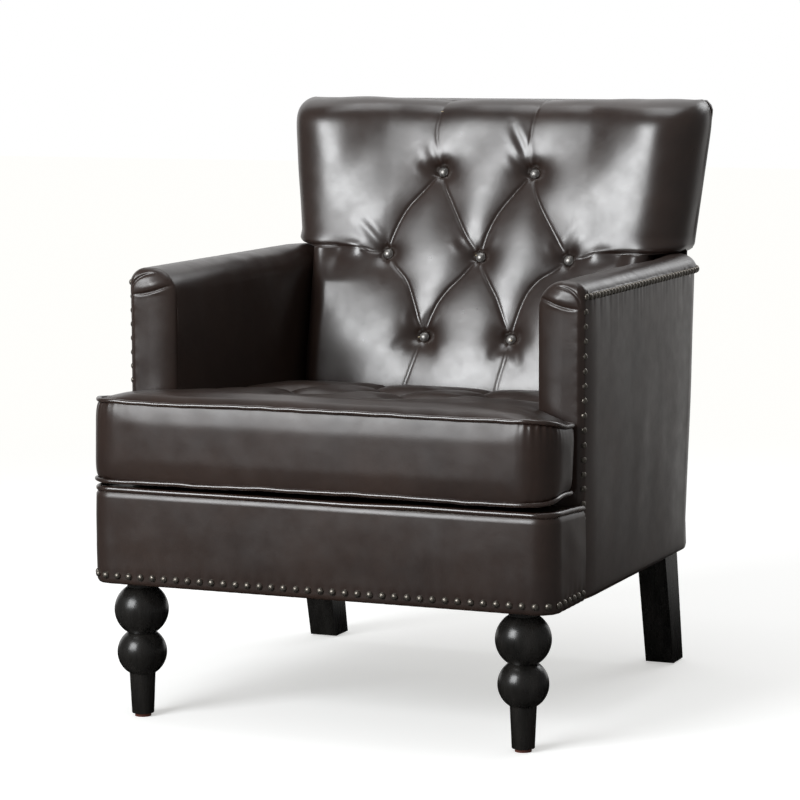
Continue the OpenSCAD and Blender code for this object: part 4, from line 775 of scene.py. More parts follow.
def makeSideNails(sign, label):
    # Down the front edge, along the top edge and round the corner
    half, topZ = body["halfWidth"], arm["nailTopZ"]
    places, facings = [], []
    for z in columnZ:
        y = arm["nailY"] - arm["nailLean"] * (topZ - z) / columnRise
        places.append((half - sideRound(y) - arm["columnIn"], y, z))
        facings.append(arm["columnFacing"])
    for y in topNailY:
        places.append((half - sideRound(y) + arm["topOut"], y, topZ))
        facings.append(arm["topFacing"])
    for a in cornerNails / body["cornerR"]:
        r = body["cornerR"] + arm["topOut"]
        places.append((cornerX + r * math.cos(a), sideRowEnd + r * math.sin(a), topZ))
        facings.append((math.cos(a), math.sin(a), 0.0))
    places, facings = np.array(places) * (sign, 1.0, 1.0), np.array(facings) * (sign, 1.0, 1.0)
    name = "sideNails" + label.capitalize()
    row = studRow(name, places, facings, {**nailSize, "Seed": 12 + sign}, nailBronze)
    finishPiece(row, nailBronze, "chair", "nail_metal", "nails_" + label)


for sign, label in ((1, "right"), (-1, "left")):
    makeArmCover(sign, label)
    makeArmFront(sign, label)
    makeSide(sign, label)
    makeSideNails(sign, label)
print("arms made")


# Tufted back

back = {
    "cell": 2.1, "columns": (71, 46, 32, 12),   # points over the face, the ease, the rounded edge, the side
    "lowZ": 318.0, "armZ": 628.6, "rearGap": 3.3, "flatX": 150.0,
    # the face: where it starts, its lean, the height and softness of its bend, and its hollow over the seat
    "faceY": 160.0, "faceLean": math.radians(20.8), "bendZ": 465.0, "bendSoft": 26.0, "faceOut": 2.0,
    "hollow": 4.0, "hollowZ": 420.0, "hollowRise": 30.0,
    "wingFootT": 104.0, "wingTopT": 94.0, "wingFootX": 311.0, "wingSpread": 25.0, "wingRoll": 8.0,
    "edgeR": 58.0, "creaseW": 42.0, "creaseY": 250.0, "creaseDeep": 35.0, "insideX": 273.4,
    "joinZ": 575.0, "joinX": 222.0, "joinRun": 50.0,   # where the lower part comes up to the wing's line
    "topR": 36.0, "topDrop": 2.5, "cornerR": 22.0, "easeRounds": 110, "spread": 0.012,
    # where these start and how far they take to rise
    "easeTopZ": (740.0, 60.0), "easeSideX": (165.0, 30.0), "easeAbove": (6.0, 20.0),
    "spreadX": (200.0, 110.0),
    "softness": 34.0, "buttonDip": 27.0, "tuftDeep": 24.0, "deeper": 1.75,
    "slit": 2.0, "slitDeep": 1.7, "lip": 0.3, "slitEndX": (160.0, 30.0),
    "pleatEnd": 0.13, "pleatShare": 0.56, "buttonPin": 8.5, "buttonClear": 11.0, "ledgeRise": 3.0,
    "seamHalf": 188.0, "ledgeX": 222.0, "calmX": 172.0, "calmRun": 45.0, "calmRise": 12.0,
    "wrinkleDeep": 0.42, "wrinkleWide": 1.9, "waves": [(0.55, 70.0, 71), (0.9, 170.0, 72)],
    "buttons": [(-69, 505), (72, 506), (-147, 627), (6, 625.5), (149, 624.5), (-74, 751.5), (76, 751.5)],
}
# Pleats that start at a button: (line, depth at its middle, depth at its end, lip side)
pleats = [
    ([(-74, 751.5), (-97, 720.5), (-119, 694.5), (-134, 664.5), (-147, 627)], 7.5, 24, 1),
    ([(-74, 751.5), (-65, 728.5), (-50, 703.5), (-35, 679.5), (-17, 652.5), (6, 625.5)], 7.5, 24, -1),
    ([(76, 751.5), (49, 716.5), (29, 688.5), (15, 657.5), (6, 625.5)], 8.5, 24, 1),
    ([(76, 751.5), (84, 723.5), (97, 698.5), (119, 666.5), (149, 624.5)], 7.0, 24, -1),
    ([(-147, 627), (-128, 605.5), (-107, 585.5), (-93, 560.5), (-69, 505)], 7.5, 24, -1),
    ([(6, 625.5), (-17, 594.5), (-37, 572.5), (-53, 547.5), (-69, 505)], 8.0, 24, 1),
    ([(6, 625.5), (18, 601.5), (33, 579.5), (48, 556.5), (72, 506)], 7.0, 24, -1),
    ([(149, 624.5), (130, 606.5), (107, 590.5), (89, 564.5), (72, 506)], 8.5, 24, 1),
    ([(-147, 627), (-183, 627.5), (-218, 630.5), (-303, 630.5), (-420, 630.5)], 6.0, 6, 1),
    ([(149, 624.5), (177, 625.5), (212, 629.5), (297, 630.5), (420, 630.5)], 6.0, 6, -1),
    ([(-74, 751.5), (-80, 779.5), (-86, 804.5), (-84, 834.5), (-81, 855.5)], 4.5, 2.5, 1),
    ([(76, 751.5), (69, 781.5), (70, 810.5), (72, 836.5), (77, 855.5)], 4.5, 2.5, -1),
    ([(-69, 505), (-75, 472.5), (-82, 444.5), (-89, 412.5), (-93, 332.5)], 4.0, 3, 1),
    ([(72, 506), (71, 472.5), (66, 446.5), (61, 412.5), (57, 332.5)], 3.5, 3, -1),
]
# Short wrinkles that run out from the buttons: (line, depth, width)
wrinkles = [
    ([(69, 760), (57, 785), (43, 808), (37, 823)], 3.2, 3.2), ([(65, 756), (46, 770), (39, 778)], 1.8, 3.0),
    ([(-156, 632), (-171, 648), (-187, 663), (-199, 672)], 3.0, 3.4),
    ([(-83, 753), (-99, 756), (-109, 764)], 2.0, 3.2), ([(-81, 760), (-93, 780), (-97, 794)], 1.6, 3.4),
    ([(-9, 634), (-23, 642), (-31, 653)], 2.2, 3.0), ([(140, 632), (130, 642), (125, 654)], 2.0, 3.0),
    ([(-69, 513), (-63, 532), (-53, 546)], 2.0, 2.8), ([(-81, 514), (-87, 531), (-85, 544)], 1.8, 2.8),
    ([(79, 497), (89, 480), (97, 460)], 2.2, 3.6), ([(67, 497), (55, 484), (49, 468)], 2.4, 3.6),
    ([(-85, 500), (-99, 492), (-113, 478)], 1.8, 3.6), ([(77, 744), (87, 750), (98, 750)], 1.2, 3.0),
    ([(6, 634), (17, 648), (23, 660)], 1.6, 3.0), ([(-67, 500), (-53, 488), (-45, 470)], 1.8, 3.8),
    ([(149, 636), (157, 653), (171, 668)], 1.4, 3.6),
]


def faceY(z):
    run = np.logaddexp(0, (z - back["bendZ"]) / back["bendSoft"]) * back["bendSoft"]  # the lean starts softly
    hollow = back["hollow"] * bell(z - back["hollowZ"], back["hollowRise"])
    return back["faceY"] + math.tan(back["faceLean"]) * (run - back["faceOut"]) - hollow


def wingShare(z):
    return (z - body["wingZ"]) / (body["backTopZ"] - body["wingZ"])


def wingY(z):
    return rearY(z) - (back["wingFootT"] - (back["wingFootT"] - back["wingTopT"]) * wingShare(z))


def wingHalf(z):
    up = z - (body["backTopZ"] - back["cornerR"])
    return back["wingFootX"] + back["wingSpread"] * wingShare(z) - edgeRoll(up, back["cornerR"])


def backRow(z):
    # Half of the back's outline in plan at a height: face, ease to the wing, rounded edge, side
    n1, n2, n3, n4 = back["columns"]
    flat, face, rear = back["flatX"], faceY(z), rearY(z) - back["rearGap"]
    easeShare = np.linspace(0, 1, n2, endpoint=False)
    a = np.linspace(0, math.pi / 2, n3, endpoint=False)
    sideShare = np.linspace(0, 1, n4)
    onWing = z > back["armZ"] - 0.5
    if onWing:
        # The wing's lower edge rolls under
        tuck = edgeRoll(back["wingRoll"] - (z - back["armZ"]), back["wingRoll"])
        half, wing, e = wingHalf(z) - 0.6 * tuck, wingY(z), back["edgeR"]
        x2 = flat + easeShare * (half - e - flat)
        y2 = face + (wing - face) * smoothStep(easeShare) + 0.8 * tuck * rising(x2, 175, 60)
        edge = wing + 0.8 * tuck + e
        y3 = np.minimum(edge - e * np.cos(a), rear - 6)
        y4 = min(edge, rear - 4) + sideShare * (rear - min(edge, rear - 4))
    else:
        half, e, d = back["insideX"], back["creaseW"], back["creaseY"] - face
        x2 = flat + easeShare * (half - e - flat)
        y2 = np.full(n2, face)
        y3 = back["creaseY"] - d * np.cos(a)
        y4 = back["creaseY"] + sideShare * back["creaseDeep"]
    x1 = np.linspace(0, flat, n1, endpoint=False)
    x = np.concatenate([x1, x2, half - e + e * np.sin(a), np.full(n4, half)])
    y = np.concatenate([np.full(n1, face), y2, y3, y4])
    if z > back["joinZ"] and not onWing:
        # The lower part comes up to the wing's line at the seam between them
        wx, wy = backRow(back["armZ"])
        share = rising(z, back["joinZ"], back["armZ"] - back["joinZ"] - 2)
        near = 1 - rising(x, back["joinX"], back["joinRun"])
        y += share * near * (face + np.interp(x, wx[:-n4], wy[:-n4]) - wy[0] - y)
    return x, y


def backHalf():
    # Rows up the face, over the rounded top and back along it
    topZ = body["backTopZ"] - back["topR"]
    lowTop = back["armZ"] - 1.4
    low = np.linspace(back["lowZ"], lowTop, int((lowTop - back["lowZ"]) / back["cell"]))
    high = np.linspace(back["armZ"], topZ, int((topZ - back["armZ"]) / back["cell"]))
    rows = [atHeight(np.stack(backRow(z), -1), z) for z in np.concatenate([low, high])]
    startY, deep = backRow(topZ)[1], rearY(topZ) - back["rearGap"] - faceY(topZ)
    for a in np.linspace(0, math.pi / 2, 24)[1:]:
        z = topZ + back["topR"] * math.sin(a)
        share = back["topR"] * (1 - math.cos(a)) / deep
        y = startY + (rearY(z) - back["rearGap"] - startY) * share
        rows.append(atHeight(np.stack([backRow(z)[0], y], -1), z))
    last, rearAt = rows[-1], rearY(body["backTopZ"]) - back["rearGap"]
    for t in np.linspace(0, 1, 14)[1:]:
        row = last.copy()
        row[:, 1] += (rearAt - last[:, 1]) * t
        row[:, 2] -= back["topDrop"] * t ** 3
        rows.append(row)
    return np.array(rows)


def evened(grid, share):
    # Rows drawn part of the way to the mean of their neighbours
    even = grid.copy()
    even[1:-1] = (grid[:-2] + 2 * grid[1:-1] + grid[2:]) / 4
    return grid + share * (even - grid)


half = backHalf()
# The roll over the top and the turn to the sides ease into the face
above = half[..., 2:3] - back["armZ"]
easeTop = rising(half[..., 2:3], *back["easeTopZ"])
easeSide = rising(half[..., :1], *back["easeSideX"]) * rising(above, *back["easeAbove"])
for _ in range(back["easeRounds"]):
    half = evened(half, easeTop)
    half = evened(half.swapaxes(0, 1), easeSide.swapaxes(0, 1)).swapaxes(0, 1)
spread = rising(half[..., 0], *back["spreadX"]) * rising(half[..., 2], back["armZ"], 12)
half[..., 0] *= 1 + back["spread"] * spread
base = np.concatenate([half[:, :0:-1] * (-1.0, 1.0, 1.0), half], axis=1)
print("back grid:", base.shape)


def surfaceNormals(p):
    n = np.cross(np.gradient(p, axis=1), np.gradient(p, axis=0))
    return n / np.maximum(np.linalg.norm(n, axis=-1, keepdims=True), 1e-9)


def solveSoft(points, pinned, values, softness, rounds=420):
    # Rest height of the padding: pinned where it is sewn down, easing back over the softness length
    su = np.linalg.norm(np.diff(points, axis=1), axis=-1)
    sv = np.linalg.norm(np.diff(points, axis=0), axis=-1)
    wu = softness ** 2 / np.maximum(su, 0.8) ** 2
    wv = softness ** 2 / np.maximum(sv, 0.8) ** 2
    free = ~pinned

    def apply(h):
        out = h.copy()
        du = (h[:, 1:] - h[:, :-1]) * wu
        dv = (h[1:] - h[:-1]) * wv
        out[:, 1:] += du
        out[:, :-1] -= du
        out[1:] += dv
        out[:-1] -= dv
        return out

    # Conjugate gradients
    h = np.where(pinned, values, 0.0)
    r = np.where(free, -apply(h), 0.0)
    diag = np.ones_like(h)
    diag[:, 1:] += wu
    diag[:, :-1] += wu
    diag[1:] += wv
    diag[:-1] += wv
    s = r / diag
    p = s.copy()
    rs = np.sum(r * s)
    for _ in range(rounds):
        ap = np.where(free, apply(p), 0.0)
        step = rs / max(np.sum(p * ap), 1e-20)
        h = h + step * p
        r = r - step * ap
        s = r / diag
        new = np.sum(r * s)
        if new < 1e-7:
            break
        p = s + new / rs * p
        rs = new
    return h


def depthAlong(share, start, middle, end):
    atStart, atEnd = np.exp(-share / back["pleatEnd"]), np.exp(-(1 - share) / back["pleatEnd"])
    return middle + np.maximum(0, start * atStart + end * atEnd - middle * (atStart + atEnd))


bx, bz = base[..., 0], base[..., 2]
wide = np.abs(bx)
pinned = np.zeros(bx.shape, bool)
values = np.zeros(bx.shape)
slits = np.zeros(bx.shape)
onFace = base[..., 1] < rearY(bz) - 12
for line, middle, end, lip in pleats:
    away, side, share = polylineDistance(bx, bz, curved(line, 10))
    inside = abs(line[-1][0]) < 200 and end > 10   # between two buttons
    deep = depthAlong(share, back["tuftDeep"], middle * (back["deeper"] if inside else 1.0), end)
    hit = (away < back["cell"] * back["pleatShare"]) & onFace & (wide < back["seamHalf"])
    values = np.where(hit & (~pinned | (-deep < values)), -deep, values)
    pinned |= hit
    ease = smoothStep(deep / 6.0) * (1 - rising(wide, *back["slitEndX"]))
    ease *= 0.4 if end < 4 else 1.0
    narrow = bell(away, back["slit"]) * back["slitDeep"]
    edge = np.exp(-away / 7.0) * (1 - np.exp(-away / 1.3)) * np.where(side * lip > 0, back["lip"], 0.0)
    slits += np.where(onFace, ease * (edge - narrow), 0.0)
for x, z in back["buttons"]:
    away = np.hypot(bx - x, bz - z)
    hit = (away < back["buttonPin"]) & onFace
    values = np.where(hit, 0.4 - back["buttonDip"], values)
    pinned |= hit
    slits *= 1 - bell(away, back["buttonClear"])
ledge = (np.abs(bz - back["armZ"]) < back["ledgeRise"]) & (wide >= back["ledgeX"])
pinned |= ledge
values = np.where(ledge, 0.0, values)
height = solveSoft(base, pinned, values, back["softness"])
for line, deep, width in wrinkles:
    away, _, share = polylineDistance(bx, bz, curved(line, 6))
    deep, width = back["wrinkleDeep"] * deep, back["wrinkleWide"] * width
    groove = bell(away, width) * np.sin(math.pi * np.clip(share, 0.04, 0.96)) ** 0.7
    ridge = bell(away - 1.9 * width, width) * np.sin(math.pi * np.clip(share, 0.05, 0.95))
    height += np.where(onFace, deep * (0.45 * ridge - groove), 0.0)
height += slits
# The seams under the wings are made by their rolled edge alone
calm = rising(wide, back["calmX"], back["calmRun"]) * bell(bz - back["armZ"], back["calmRise"])
height *= 1 - calm
height += np.where(onFace, uneven(base, back["waves"]), 0.0)
tufted = base + surfaceNormals(base) * height[..., None]
backPiece = closePiece(newPiece("insideBack", tufted, gridFaces(*tufted.shape[:2])))
finishPiece(backPiece, backLeather, "chair", "padded_leather", "inside_back")

sunk = back["buttonDip"] - 2.2
lean = (0.0, -math.cos(back["faceLean"]), math.sin(back["faceLean"]))
places = [(x, faceY(z) - sunk * lean[1], z - sunk * lean[2]) for x, z in back["buttons"]]
buttons = studRow("backButtons", places, [lean] * len(places), buttonSize, buttonBronze)
finishPiece(buttons, buttonBronze, "chair", "button_metal", "back_buttons")

# Outside back: one panel from wing to wing, a little crowned
outside = {
    "cols": 61, "rows": 90, "crown": 1.6, "thickness": 2.2, "topGap": 2.5, "rearIn": 0.6,
    "sideIn": 0.3, "aboveSide": 46.0, "wingIn": 1.5, "footIn": 4.8, "footRise": 8.0, "edgeIn": 1.0,
}


def outsideHalf(z):
    if z < body["sideTopZ"]:
        return cornerX - outside["sideIn"]
    if z < body["wingZ"]:
        return cornerX + outside["aboveSide"]
    foot = outside["footIn"] * max(0.0, 1 - (z - body["wingZ"]) / outside["footRise"]) ** 2
    return wingHalf(z) * (1 + back["spread"]) - outside["wingIn"] - foot


panel = []
for z in np.linspace(body["baseZ"], body["backTopZ"] - outside["topGap"], outside["rows"]):
    across = np.linspace(-1, 1, outside["cols"])
    share = (z - body["baseZ"]) / (body["backTopZ"] - body["baseZ"])
    flat = np.full(outside["cols"], rearY(z) - outside["rearIn"])
    p = atHeight(np.stack([across * outsideHalf(z), flat], -1), z)
    crown = (1 - across ** 4) * math.sin(math.pi * min(0.98, max(0.02, share))) ** 0.5
    p[:, 1] += crown * (outside["crown"] + 0.7 * softWaves(p, 210.0, 81)) - outside["edgeIn"] * across ** 12
    panel.append(p)
piece = coverPiece("outsideBack", np.array(panel)[:, ::-1], outside["thickness"])
finishCover(piece, "outside_back")

# Under each wing, a strip carries on round the rear corner and hides the post
wingFoot = {"lowZ": 609.0, "highZ": 631.0, "rows": 8, "r": 96.5, "from": 46.0, "cols": 20}
a = np.radians(np.linspace(wingFoot["from"], 90, wingFoot["cols"]))
bend = wingFoot["r"] * np.column_stack([np.cos(a), np.sin(a)])
strip = [atHeight((cornerX, cornerY(z)) + bend, z)
         for z in np.linspace(wingFoot["lowZ"], wingFoot["highZ"], wingFoot["rows"])]
for sign, label in ((1, "Right"), (-1, "Left")):
    finishCover(sideCoverPiece("wingFoot" + label, strip, sign))
print("back made")


# Seat cushion, worked out flat with its front edge at Y 0 and its middle at Z 0

cushion = {
    "halfThick": 54.0, "belly": 12.5, "length": 510.6, "earHalf": 341.0, "stemHalf": 267.0,
    "earEnd": 109.1, "stemStart": 112.1, "frontR": 40.0, "smallR": 22.0, "notchR": 9.0, "middleY": 98.0,
    # rings of the unfilled cover from below to above: share of the outline, how far it is let out,
    # height as a share of the half thickness, and what is added to that height
    "rings": [(0.02, 0, -1, -9), (0.5, 0, -1, -9), (0.85, 0, -1, -6.5), (0.96, 0, -1, -2.5), (1, 0, -1, 0),
              (1, 2.6, -0.86, 0), (1, 3.9, -0.6, 0), (1, 4.2, 0, 0), (1, 4.2, 0.6, 0), (1, 3.2, 0.86, 0),
              (1, 0, 1, 0), (0.965, 0, 1, 6), (0.88, 0, 1, 13), (0.6, 0, 1, 18), (0.3, 0, 1, 18.5),
              (0.02, 0, 1, 18.5)],
    "voxel": 0.006, "pressure": 4.0, "frames": 20, "held": 5.5, "cap": 0.6,
    "cloth": {"quality": 5, "mass": 0.35, "tension_stiffness": 12, "compression_stiffness": 12,
              "shear_stiffness": 6, "bending_stiffness": 1.2, "use_pressure": True},
    "startY": -360.3, "midZ": 397.0, "shiftX": -5.0,
    # the pressed ear: where it starts and how far it takes, then how much above and below
    "pressX": (262.0, 70.0), "pressY": (-5.0, 75.0), "press": (8.0, 11.0),
    "tufts": [(-83, 150), (83, 150), (-166, 270), (0, 270), (166, 270), (-83, 390), (83, 390)],
    "tuftDip": 25.0, "tuftWide": 36.0, "tuftNarrow": 12.0, "foldReach": 13.0, "foldClear": 26.0,
    "dipClear": 9.0, "waves": [(0.6, 150.0, 91), (0.2, 50.0, 92)],
    # gathers at the front corners: the side they are on and their strength
    "gathers": ((1, 1.0), (-1, 0.55)), "gatherDeep": 1.5, "gatherCount": 26.0,
    "weltRadius": 3.3, "weltOut": 1.2, "weltUneven": 0.04,
}


def cushionOutline(step=5.0):
    # Right half from the middle of the front round to the middle of the rear, then its mirror
    ear, stem, r, q = cushion["earHalf"], cushion["stemHalf"], cushion["frontR"], cushion["smallR"]
    earEnd, stemStart, length = cushion["earEnd"], cushion["stemStart"], cushion["length"]
    notch = cushion["notchR"]

    def arc(cx, cy, rad, a0, a1):
        angles = np.radians(np.linspace(a0, a1, max(4, int(rad / 2.2))))
        return [(cx + rad * math.cos(a), cy + rad * math.sin(a)) for a in angles]

    corners = [(0, 0), *arc(ear - r, r, r, -90, 0), *arc(ear - q, earEnd - q, q, 0, 90),
               *arc(stem + notch, stemStart + 8, notch, -110, -180),
               *arc(stem - q, length - q, q, 0, 90), (0, length)]
    out = []
    for a, b in zip(corners, corners[1:]):
        n = max(1, int(math.hypot(b[0] - a[0], b[1] - a[1]) / step))
        out += [(a[0] + (b[0] - a[0]) * i / n, a[1] + (b[1] - a[1]) * i / n) for i in range(n)]
    out.append(corners[-1])
    return np.array(out + [(-x, y) for x, y in out[-2:0:-1]])


outline = cushionOutline()
run = np.roll(outline, -1, 0) - np.roll(outline, 1, 0)
outward = np.stack([run[:, 1], -run[:, 0]], -1) / np.linalg.norm(run, axis=1)[:, None]


def cushionRing(share, out, z):
    middle = np.array([0.0, cushion["middleY"]])
    return atHeight(middle + (outline + outward * out - middle) * share, z)


def placeCushion(p):
    # The right ear is pressed thinner towards the arm, then the whole is put on the sloping deck
    near = rising(p[..., 0], *cushion["pressX"]) * rising(p[..., 1], *cushion["pressY"])
    up = np.clip(p[..., 2] / cushion["halfThick"], -1, 1)
    y, z = p[..., 1], p[..., 2] - near * np.where(up > 0, *cushion["press"]) * up
    c, s = math.cos(body["seatSlope"]), math.sin(body["seatSlope"])
    return np.stack([p[..., 0] + cushion["shiftX"], y * c + z * s + cushion["startY"],
                     z * c - y * s + cushion["midZ"]], -1)


def fillCushion(cover, start):
    # The seams stay where the welts hold them, the leather between them fills out
    distance = np.full(len(start), 1e9)
    for x, y in outline:
        d = np.hypot(start[:, 0] - x, start[:, 1] - y)
        distance = np.minimum(distance, np.hypot(d, np.abs(np.abs(start[:, 2]) - cushion["halfThick"])))
    seams = cover.vertex_groups.new(name="seams")
    seams.add([int(i) for i in np.nonzero(distance < cushion["held"])[0]], 1.0, "REPLACE")
    cloth = cover.modifiers.new("fill", "CLOTH")
    for key, value in cushion["cloth"].items():
        setattr(cloth.settings, key, value)
    cloth.settings.uniform_pressure_force = cushion["pressure"]
    cloth.settings.vertex_group_mass = "seams"
    cloth.settings.effector_weights.gravity = 0
    cloth.collision_settings.use_collision = False
    cloth.collision_settings.use_self_collision = False
    for f in range(1, cushion["frames"] + 1):
        bpy.context.scene.frame_set(f)
    filled = cover.evaluated_get(bpy.context.evaluated_depsgraph_get())
    shift = vertexValues(filled.data, "co") / mm - start
    cover.modifiers.remove(cloth)
    cover.vertex_groups.clear()
    bpy.context.scene.frame_set(1)
    far = np.linalg.norm(shift, axis=1)
    print("cushion filled: moved up to", round(float(far.max()), 1), "mm")
    return start + shift * np.minimum(1, cushion["cap"] / np.maximum(far, 1e-6))[:, None]


halfThick = cushion["halfThick"]
rings = [cushionRing(share, out, halfThick * level + past) for share, out, level, past in cushion["rings"]]
faces = gridFaces(len(rings), len(outline), wrap=True)
shell = closePiece(newPiece("cushionShell", np.array(rings), faces), flatCaps=False)
remesh = shell.modifiers.new("remesh", "REMESH")
remesh.mode = "VOXEL"
remesh.voxel_size = cushion["voxel"]
mesh = appliedMesh(shell)
bpy.data.objects.remove(shell)
cover = addObject("seatCushion", mesh)
start = vertexValues(mesh, "co") / mm
print("cushion mesh:", len(start), "points")
start = fillCushion(cover, start)
moveVertices(mesh, start)
finer = cover.modifiers.new("finer", "SUBSURF")
finer.levels = finer.render_levels = 1
mesh = appliedMesh(cover)
cover.modifiers.clear()
cover.data = mesh
p, n = vertexValues(mesh, "co") / mm, vertexValues(mesh, "normal")

# The folds between the tufts, sewn into the top after it is filled: (line, depth, lip side)
seatPleats = [
    ([(-83, 150), (-124, 205), (-166, 270)], 8.5, 1), ([(-83, 150), (-40, 205), (0, 270)], 8.5, -1),
    ([(83, 150), (42, 208), (0, 270)], 8.5, 1), ([(83, 150), (126, 208), (166, 270)], 8.5, -1),
    ([(-166, 270), (-122, 325), (-83, 390)], 8.5, -1), ([(0, 270), (-42, 325), (-83, 390)], 8.5, 1),
    ([(0, 270), (40, 325), (83, 390)], 8.5, -1), ([(166, 270), (124, 328), (83, 390)], 8.5, 1),
    ([(-83, 150), (-90, 95), (-110, 40)], 4.8, 1), ([(83, 150), (72, 95), (50, 45)], 4.8, 1),
    ([(-83, 390), (-86, 450), (-88, 512)], 6.0, 1), ([(83, 390), (84, 450), (86, 512)], 6.0, -1),
    ([(-166, 270), (-215, 274), (-268, 276)], 6.0, 1), ([(166, 270), (215, 273), (268, 275)], 6.0, -1),
]
top = rising(n[:, 2], 0.25, 0.5) * (p[:, 2] > 0)
dip = np.zeros(len(p))
fold = np.zeros(len(p))
nearTuft = np.min([np.hypot(p[:, 0] - x, p[:, 1] - y) for x, y in cushion["tufts"]], axis=0)
for line, deep, lip in seatPleats:
    away, side, share = polylineDistance(p[:, 0], p[:, 1], curved(line))
    fade = np.minimum(1, 3.5 * (1 - share)) if deep < 5 else 1.0   # those to the front run out
    fold = np.maximum(fold, deep * fade * np.exp(-away / cushion["foldReach"]))
    dip += fade * (0.9 * bell(away, 3.2) - 0.8 * bell(away - 6.5, 3.5) * (side * lip > 0))
tuft = 0.6 * bell(nearTuft, cushion["tuftWide"]) + 0.4 * np.exp(-nearTuft / cushion["tuftNarrow"])
fold *= 1 - np.exp(-nearTuft / cushion["foldClear"])
dip *= 1 - bell(nearTuft, cushion["dipClear"])
p[:, 2] -= top * (cushion["tuftDip"] * tuft + fold + dip)
p += n * uneven(p, cushion["waves"])[:, None]

# Gathers at the front corners, where the boxing turns
for sign, strength in cushion["gathers"]:
    dx, dy = p[:, 0] * sign - (cushion["earHalf"] - cushion["frontR"]), p[:, 1] - cushion["frontR"]
    angle = np.arctan2(dy, dx)
    here = bell(angle + math.pi / 4, 0.75) * rising(np.hypot(dx, dy), 20, 14)
    ripple = np.sin(angle * cushion["gatherCount"] + 1.3 * sign) * np.exp(-np.abs(halfThick - p[:, 2]) / 14.0)
    p += n * (strength * cushion["gatherDeep"] * here * ripple)[:, None]
p[:, 2] = np.maximum(p[:, 2], 0.4 - halfThick - cushion["belly"])  # flat where it rests on the deck
moveVertices(mesh, placeCushion(p))
mesh.polygons.foreach_set("use_smooth", [True] * len(mesh.polygons))
finishPiece(cover, seatLeather, "cushion", "padded_leather", "cushion_cover")

for side, label in ((1, "Top"), (-1, "Bottom")):
    path = atHeight(outline + outward * cushion["weltOut"], side * (halfThick + cushion["weltOut"]))
    path[:, 2] += uneven(path, [(0.9, 150.0, 101 + side), (0.35, 45.0, 105 + side)])
    if side < 0:
        # The lower welt rises in the middle of the front
        front = smoothStep((40 - path[:, 1]) / 40)
        path[:, 2] += front * (2.0 * bell(path[:, 0] - 90, 150.0) - 0.6)
    radii = cushion["weltRadius"] * (1 + cushion["weltUneven"] * softWaves(path, 24.0, 110 + side))
    piece = tubePiece("cushionWelt" + label, placeCushion(path), radii, closed=True)
    finishPiece(piece, weltLeather, "cushion", "welt_leather", "cushion_welt_" + label.lower())
print("cushion made")


# Studio: pale floor, plain soft light, the photograph's camera

stage = {
    "floorSize": 30.0, "floorColour": 0.78, "floorGlow": 0.46, "glowColour": (1.0, 0.995, 0.97),
    "fadeFrom": 1.5, "fadeTo": 3.0,  # distances from the chair over which the floor fades to white
    "fill": 0.40,                    # light from all round that only lights matt surfaces
    "behind": 0.95, "front": 0.12,   # what a glossy surface sees behind the chair and on the camera's side
    "backdropWay": (-0.389, 0.921, 0.0), "backdropFrom": 0.56, "backdropTo": 0.86,
    "lampColour": (0.965, 0.985, 1.0),
}
corners = np.array([(-1, -1, 0), (1, -1, 0), (1, 1, 0), (-1, 1, 0)]) * stage["floorSize"] / 2 / mm
floor = newPiece("floor", corners, [(0, 1, 2, 3)])


def backdropLevel(shader, direction):
    # 1 towards the back, falling to the sides and the front
    flat = shader.vectors("NORMALIZE", {0: shader.vectors("MULTIPLY", {0: direction, 1: (1.0, 1.0, 0.0)})})
    facing = shader.vectors("DOT_PRODUCT", {0: flat, 1: stage["backdropWay"]}, "Value")
    return shader.span(facing, stage["front"], stage["behind"], stage["backdropFrom"], stage["backdropTo"],
                       interpolation_type="SMOOTHSTEP")


def lightPath(shader):
    # Whether a ray comes from the camera, and whether it comes from a glossy surface or a clear one
    rays = shader.node("ShaderNodeLightPath").outputs
    mirrored = shader.maths("ADD", rays["Is Glossy Ray"], rays["Is Transmission Ray"], True)
    return rays["Is Camera Ray"], mirrored


s = Shader("paleFloor")
seen, mirrorRays = lightPath(s)
away = s.vectors("LENGTH", {0: s.place}, "Value")
fade = s.span(away, 0.0, 1.0, stage["fadeFrom"], stage["fadeTo"], interpolation_type="SMOOTHSTEP")
glow = s.span(fade, stage["floorGlow"], 1.0)
# What glossy surfaces see of the floor is the backdrop's level, with painted shade: none within 0.5 m of the
# chair, rising to 0.8 of it beyond 1.1 m, in place of the shadow under the chair
mirroredFloorShadedNearChair = s.maths("MULTIPLY", backdropLevel(s, s.place), s.span(away, 0.0, 0.8, 0.5, 1.1))
strength = s.maths("ADD", s.maths("MULTIPLY", seen, glow), s.maths("MULTIPLY", mirrorRays, mirroredFloorShadedNearChair))
hideColour = s.maths("MAXIMUM", mirrorRays, s.maths("MULTIPLY", fade, seen))
colour = s.mix(hideColour, (stage["floorColour"],) * 3, (0.0, 0.0, 0.0))
floor.data.materials.append(s.done(Base_Color=colour, Roughness=0.9, Specular_IOR_Level=0.0,
                                   Emission_Color=stage["glowColour"], Emission_Strength=strength))

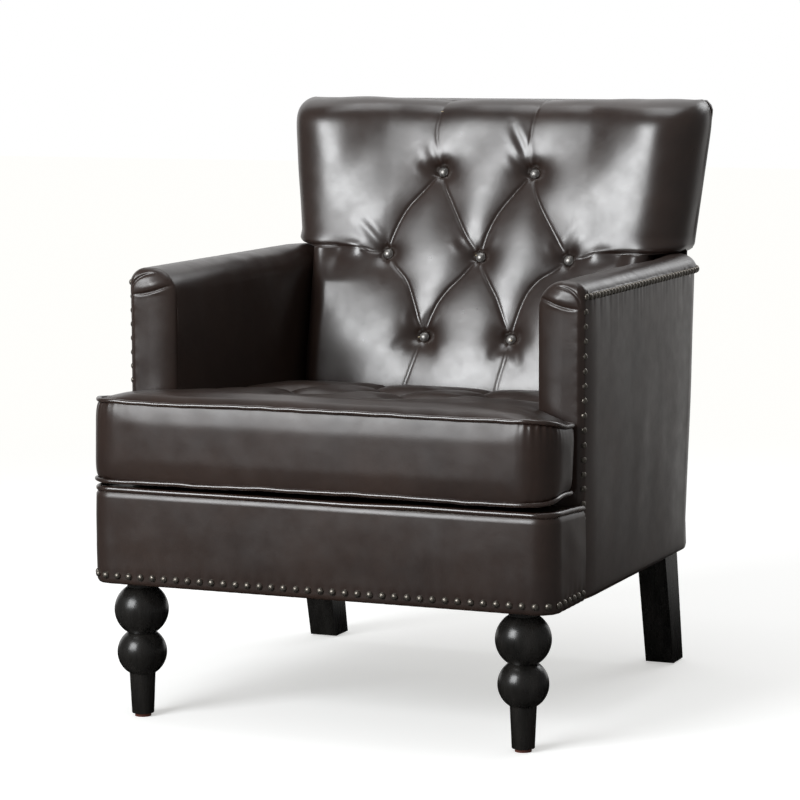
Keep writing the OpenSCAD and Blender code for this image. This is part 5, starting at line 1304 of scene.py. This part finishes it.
world = bpy.data.worlds.new("studio")
bpy.context.scene.world = world
world.use_nodes = True
w = Nodes(world.node_tree)
seen, mirrorRays = lightPath(w)
level = w.maths("MULTIPLY", mirrorRays, backdropLevel(w, w.node("ShaderNodeTexCoord").outputs["Generated"]))
plain = w.maths("SUBTRACT", 1.0, w.maths("ADD", mirrorRays, seen, True), True)
level = w.maths("ADD", w.maths("ADD", level, w.maths("MULTIPLY", plain, stage["fill"])), seen)
background = world.node_tree.nodes["Background"]
background.inputs["Color"].default_value = (1.0, 1.0, 1.0, 1.0)
world.node_tree.links.new(level, background.inputs["Strength"])

lamps = [
    # name, place, aimed at, width, height, power
    ("keyPanel", (-1.6, -3.6, 2.1), (0.0, 0.1, 1.0), 2.1, 2.1, 164.0),
    ("topPanel", (0.0, 0.2, 3.3), (0.0, 0.1, 0.4), 2.0, 1.6, 22.0),
    ("rearPanel", (1.4, 3.2, 2.4), (0.0, 0.1, 0.5), 1.6, 1.6, 22.0),
]
for name, place, aim, width, tall, power in lamps:
    light = bpy.data.lights.new(name, "AREA")
    light.shape = "RECTANGLE"
    light.size, light.size_y = width, tall
    light.energy = power
    light.color = stage["lampColour"]
    lamp = addObject(name, light)
    lamp.location = place
    lamp.rotation_euler = (Vector(aim) - Vector(place)).to_track_quat("-Z", "Y").to_euler()

camera = {"place": (1.71904, -4.13165, 0.98443), "lens": 139.08, "sensor": 36.0,
          "yaw": 22.892, "pitch": 7.112, "roll": -0.215}
yaw, pitch, roll = (math.radians(camera[k]) for k in ("yaw", "pitch", "roll"))
forward = Vector((-math.sin(yaw) * math.cos(pitch), math.cos(yaw) * math.cos(pitch), -math.sin(pitch)))
levelRight = Vector((math.cos(yaw), math.sin(yaw), 0.0))
levelUp = levelRight.cross(forward)
right = levelRight * math.cos(roll) + levelUp * math.sin(roll)
rise = levelUp * math.cos(roll) - levelRight * math.sin(roll)
lens = bpy.data.cameras.new("photoView")
lens.lens = camera["lens"]
lens.sensor_width = camera["sensor"]
photoView = addObject("photoView", lens)
turned = Matrix((right, rise, -forward)).transposed().to_4x4()
photoView.matrix_world = Matrix.Translation(camera["place"]) @ turned
bpy.context.scene.camera = photoView
bpy.context.scene.view_settings.view_transform = "Standard"
print("studio set")
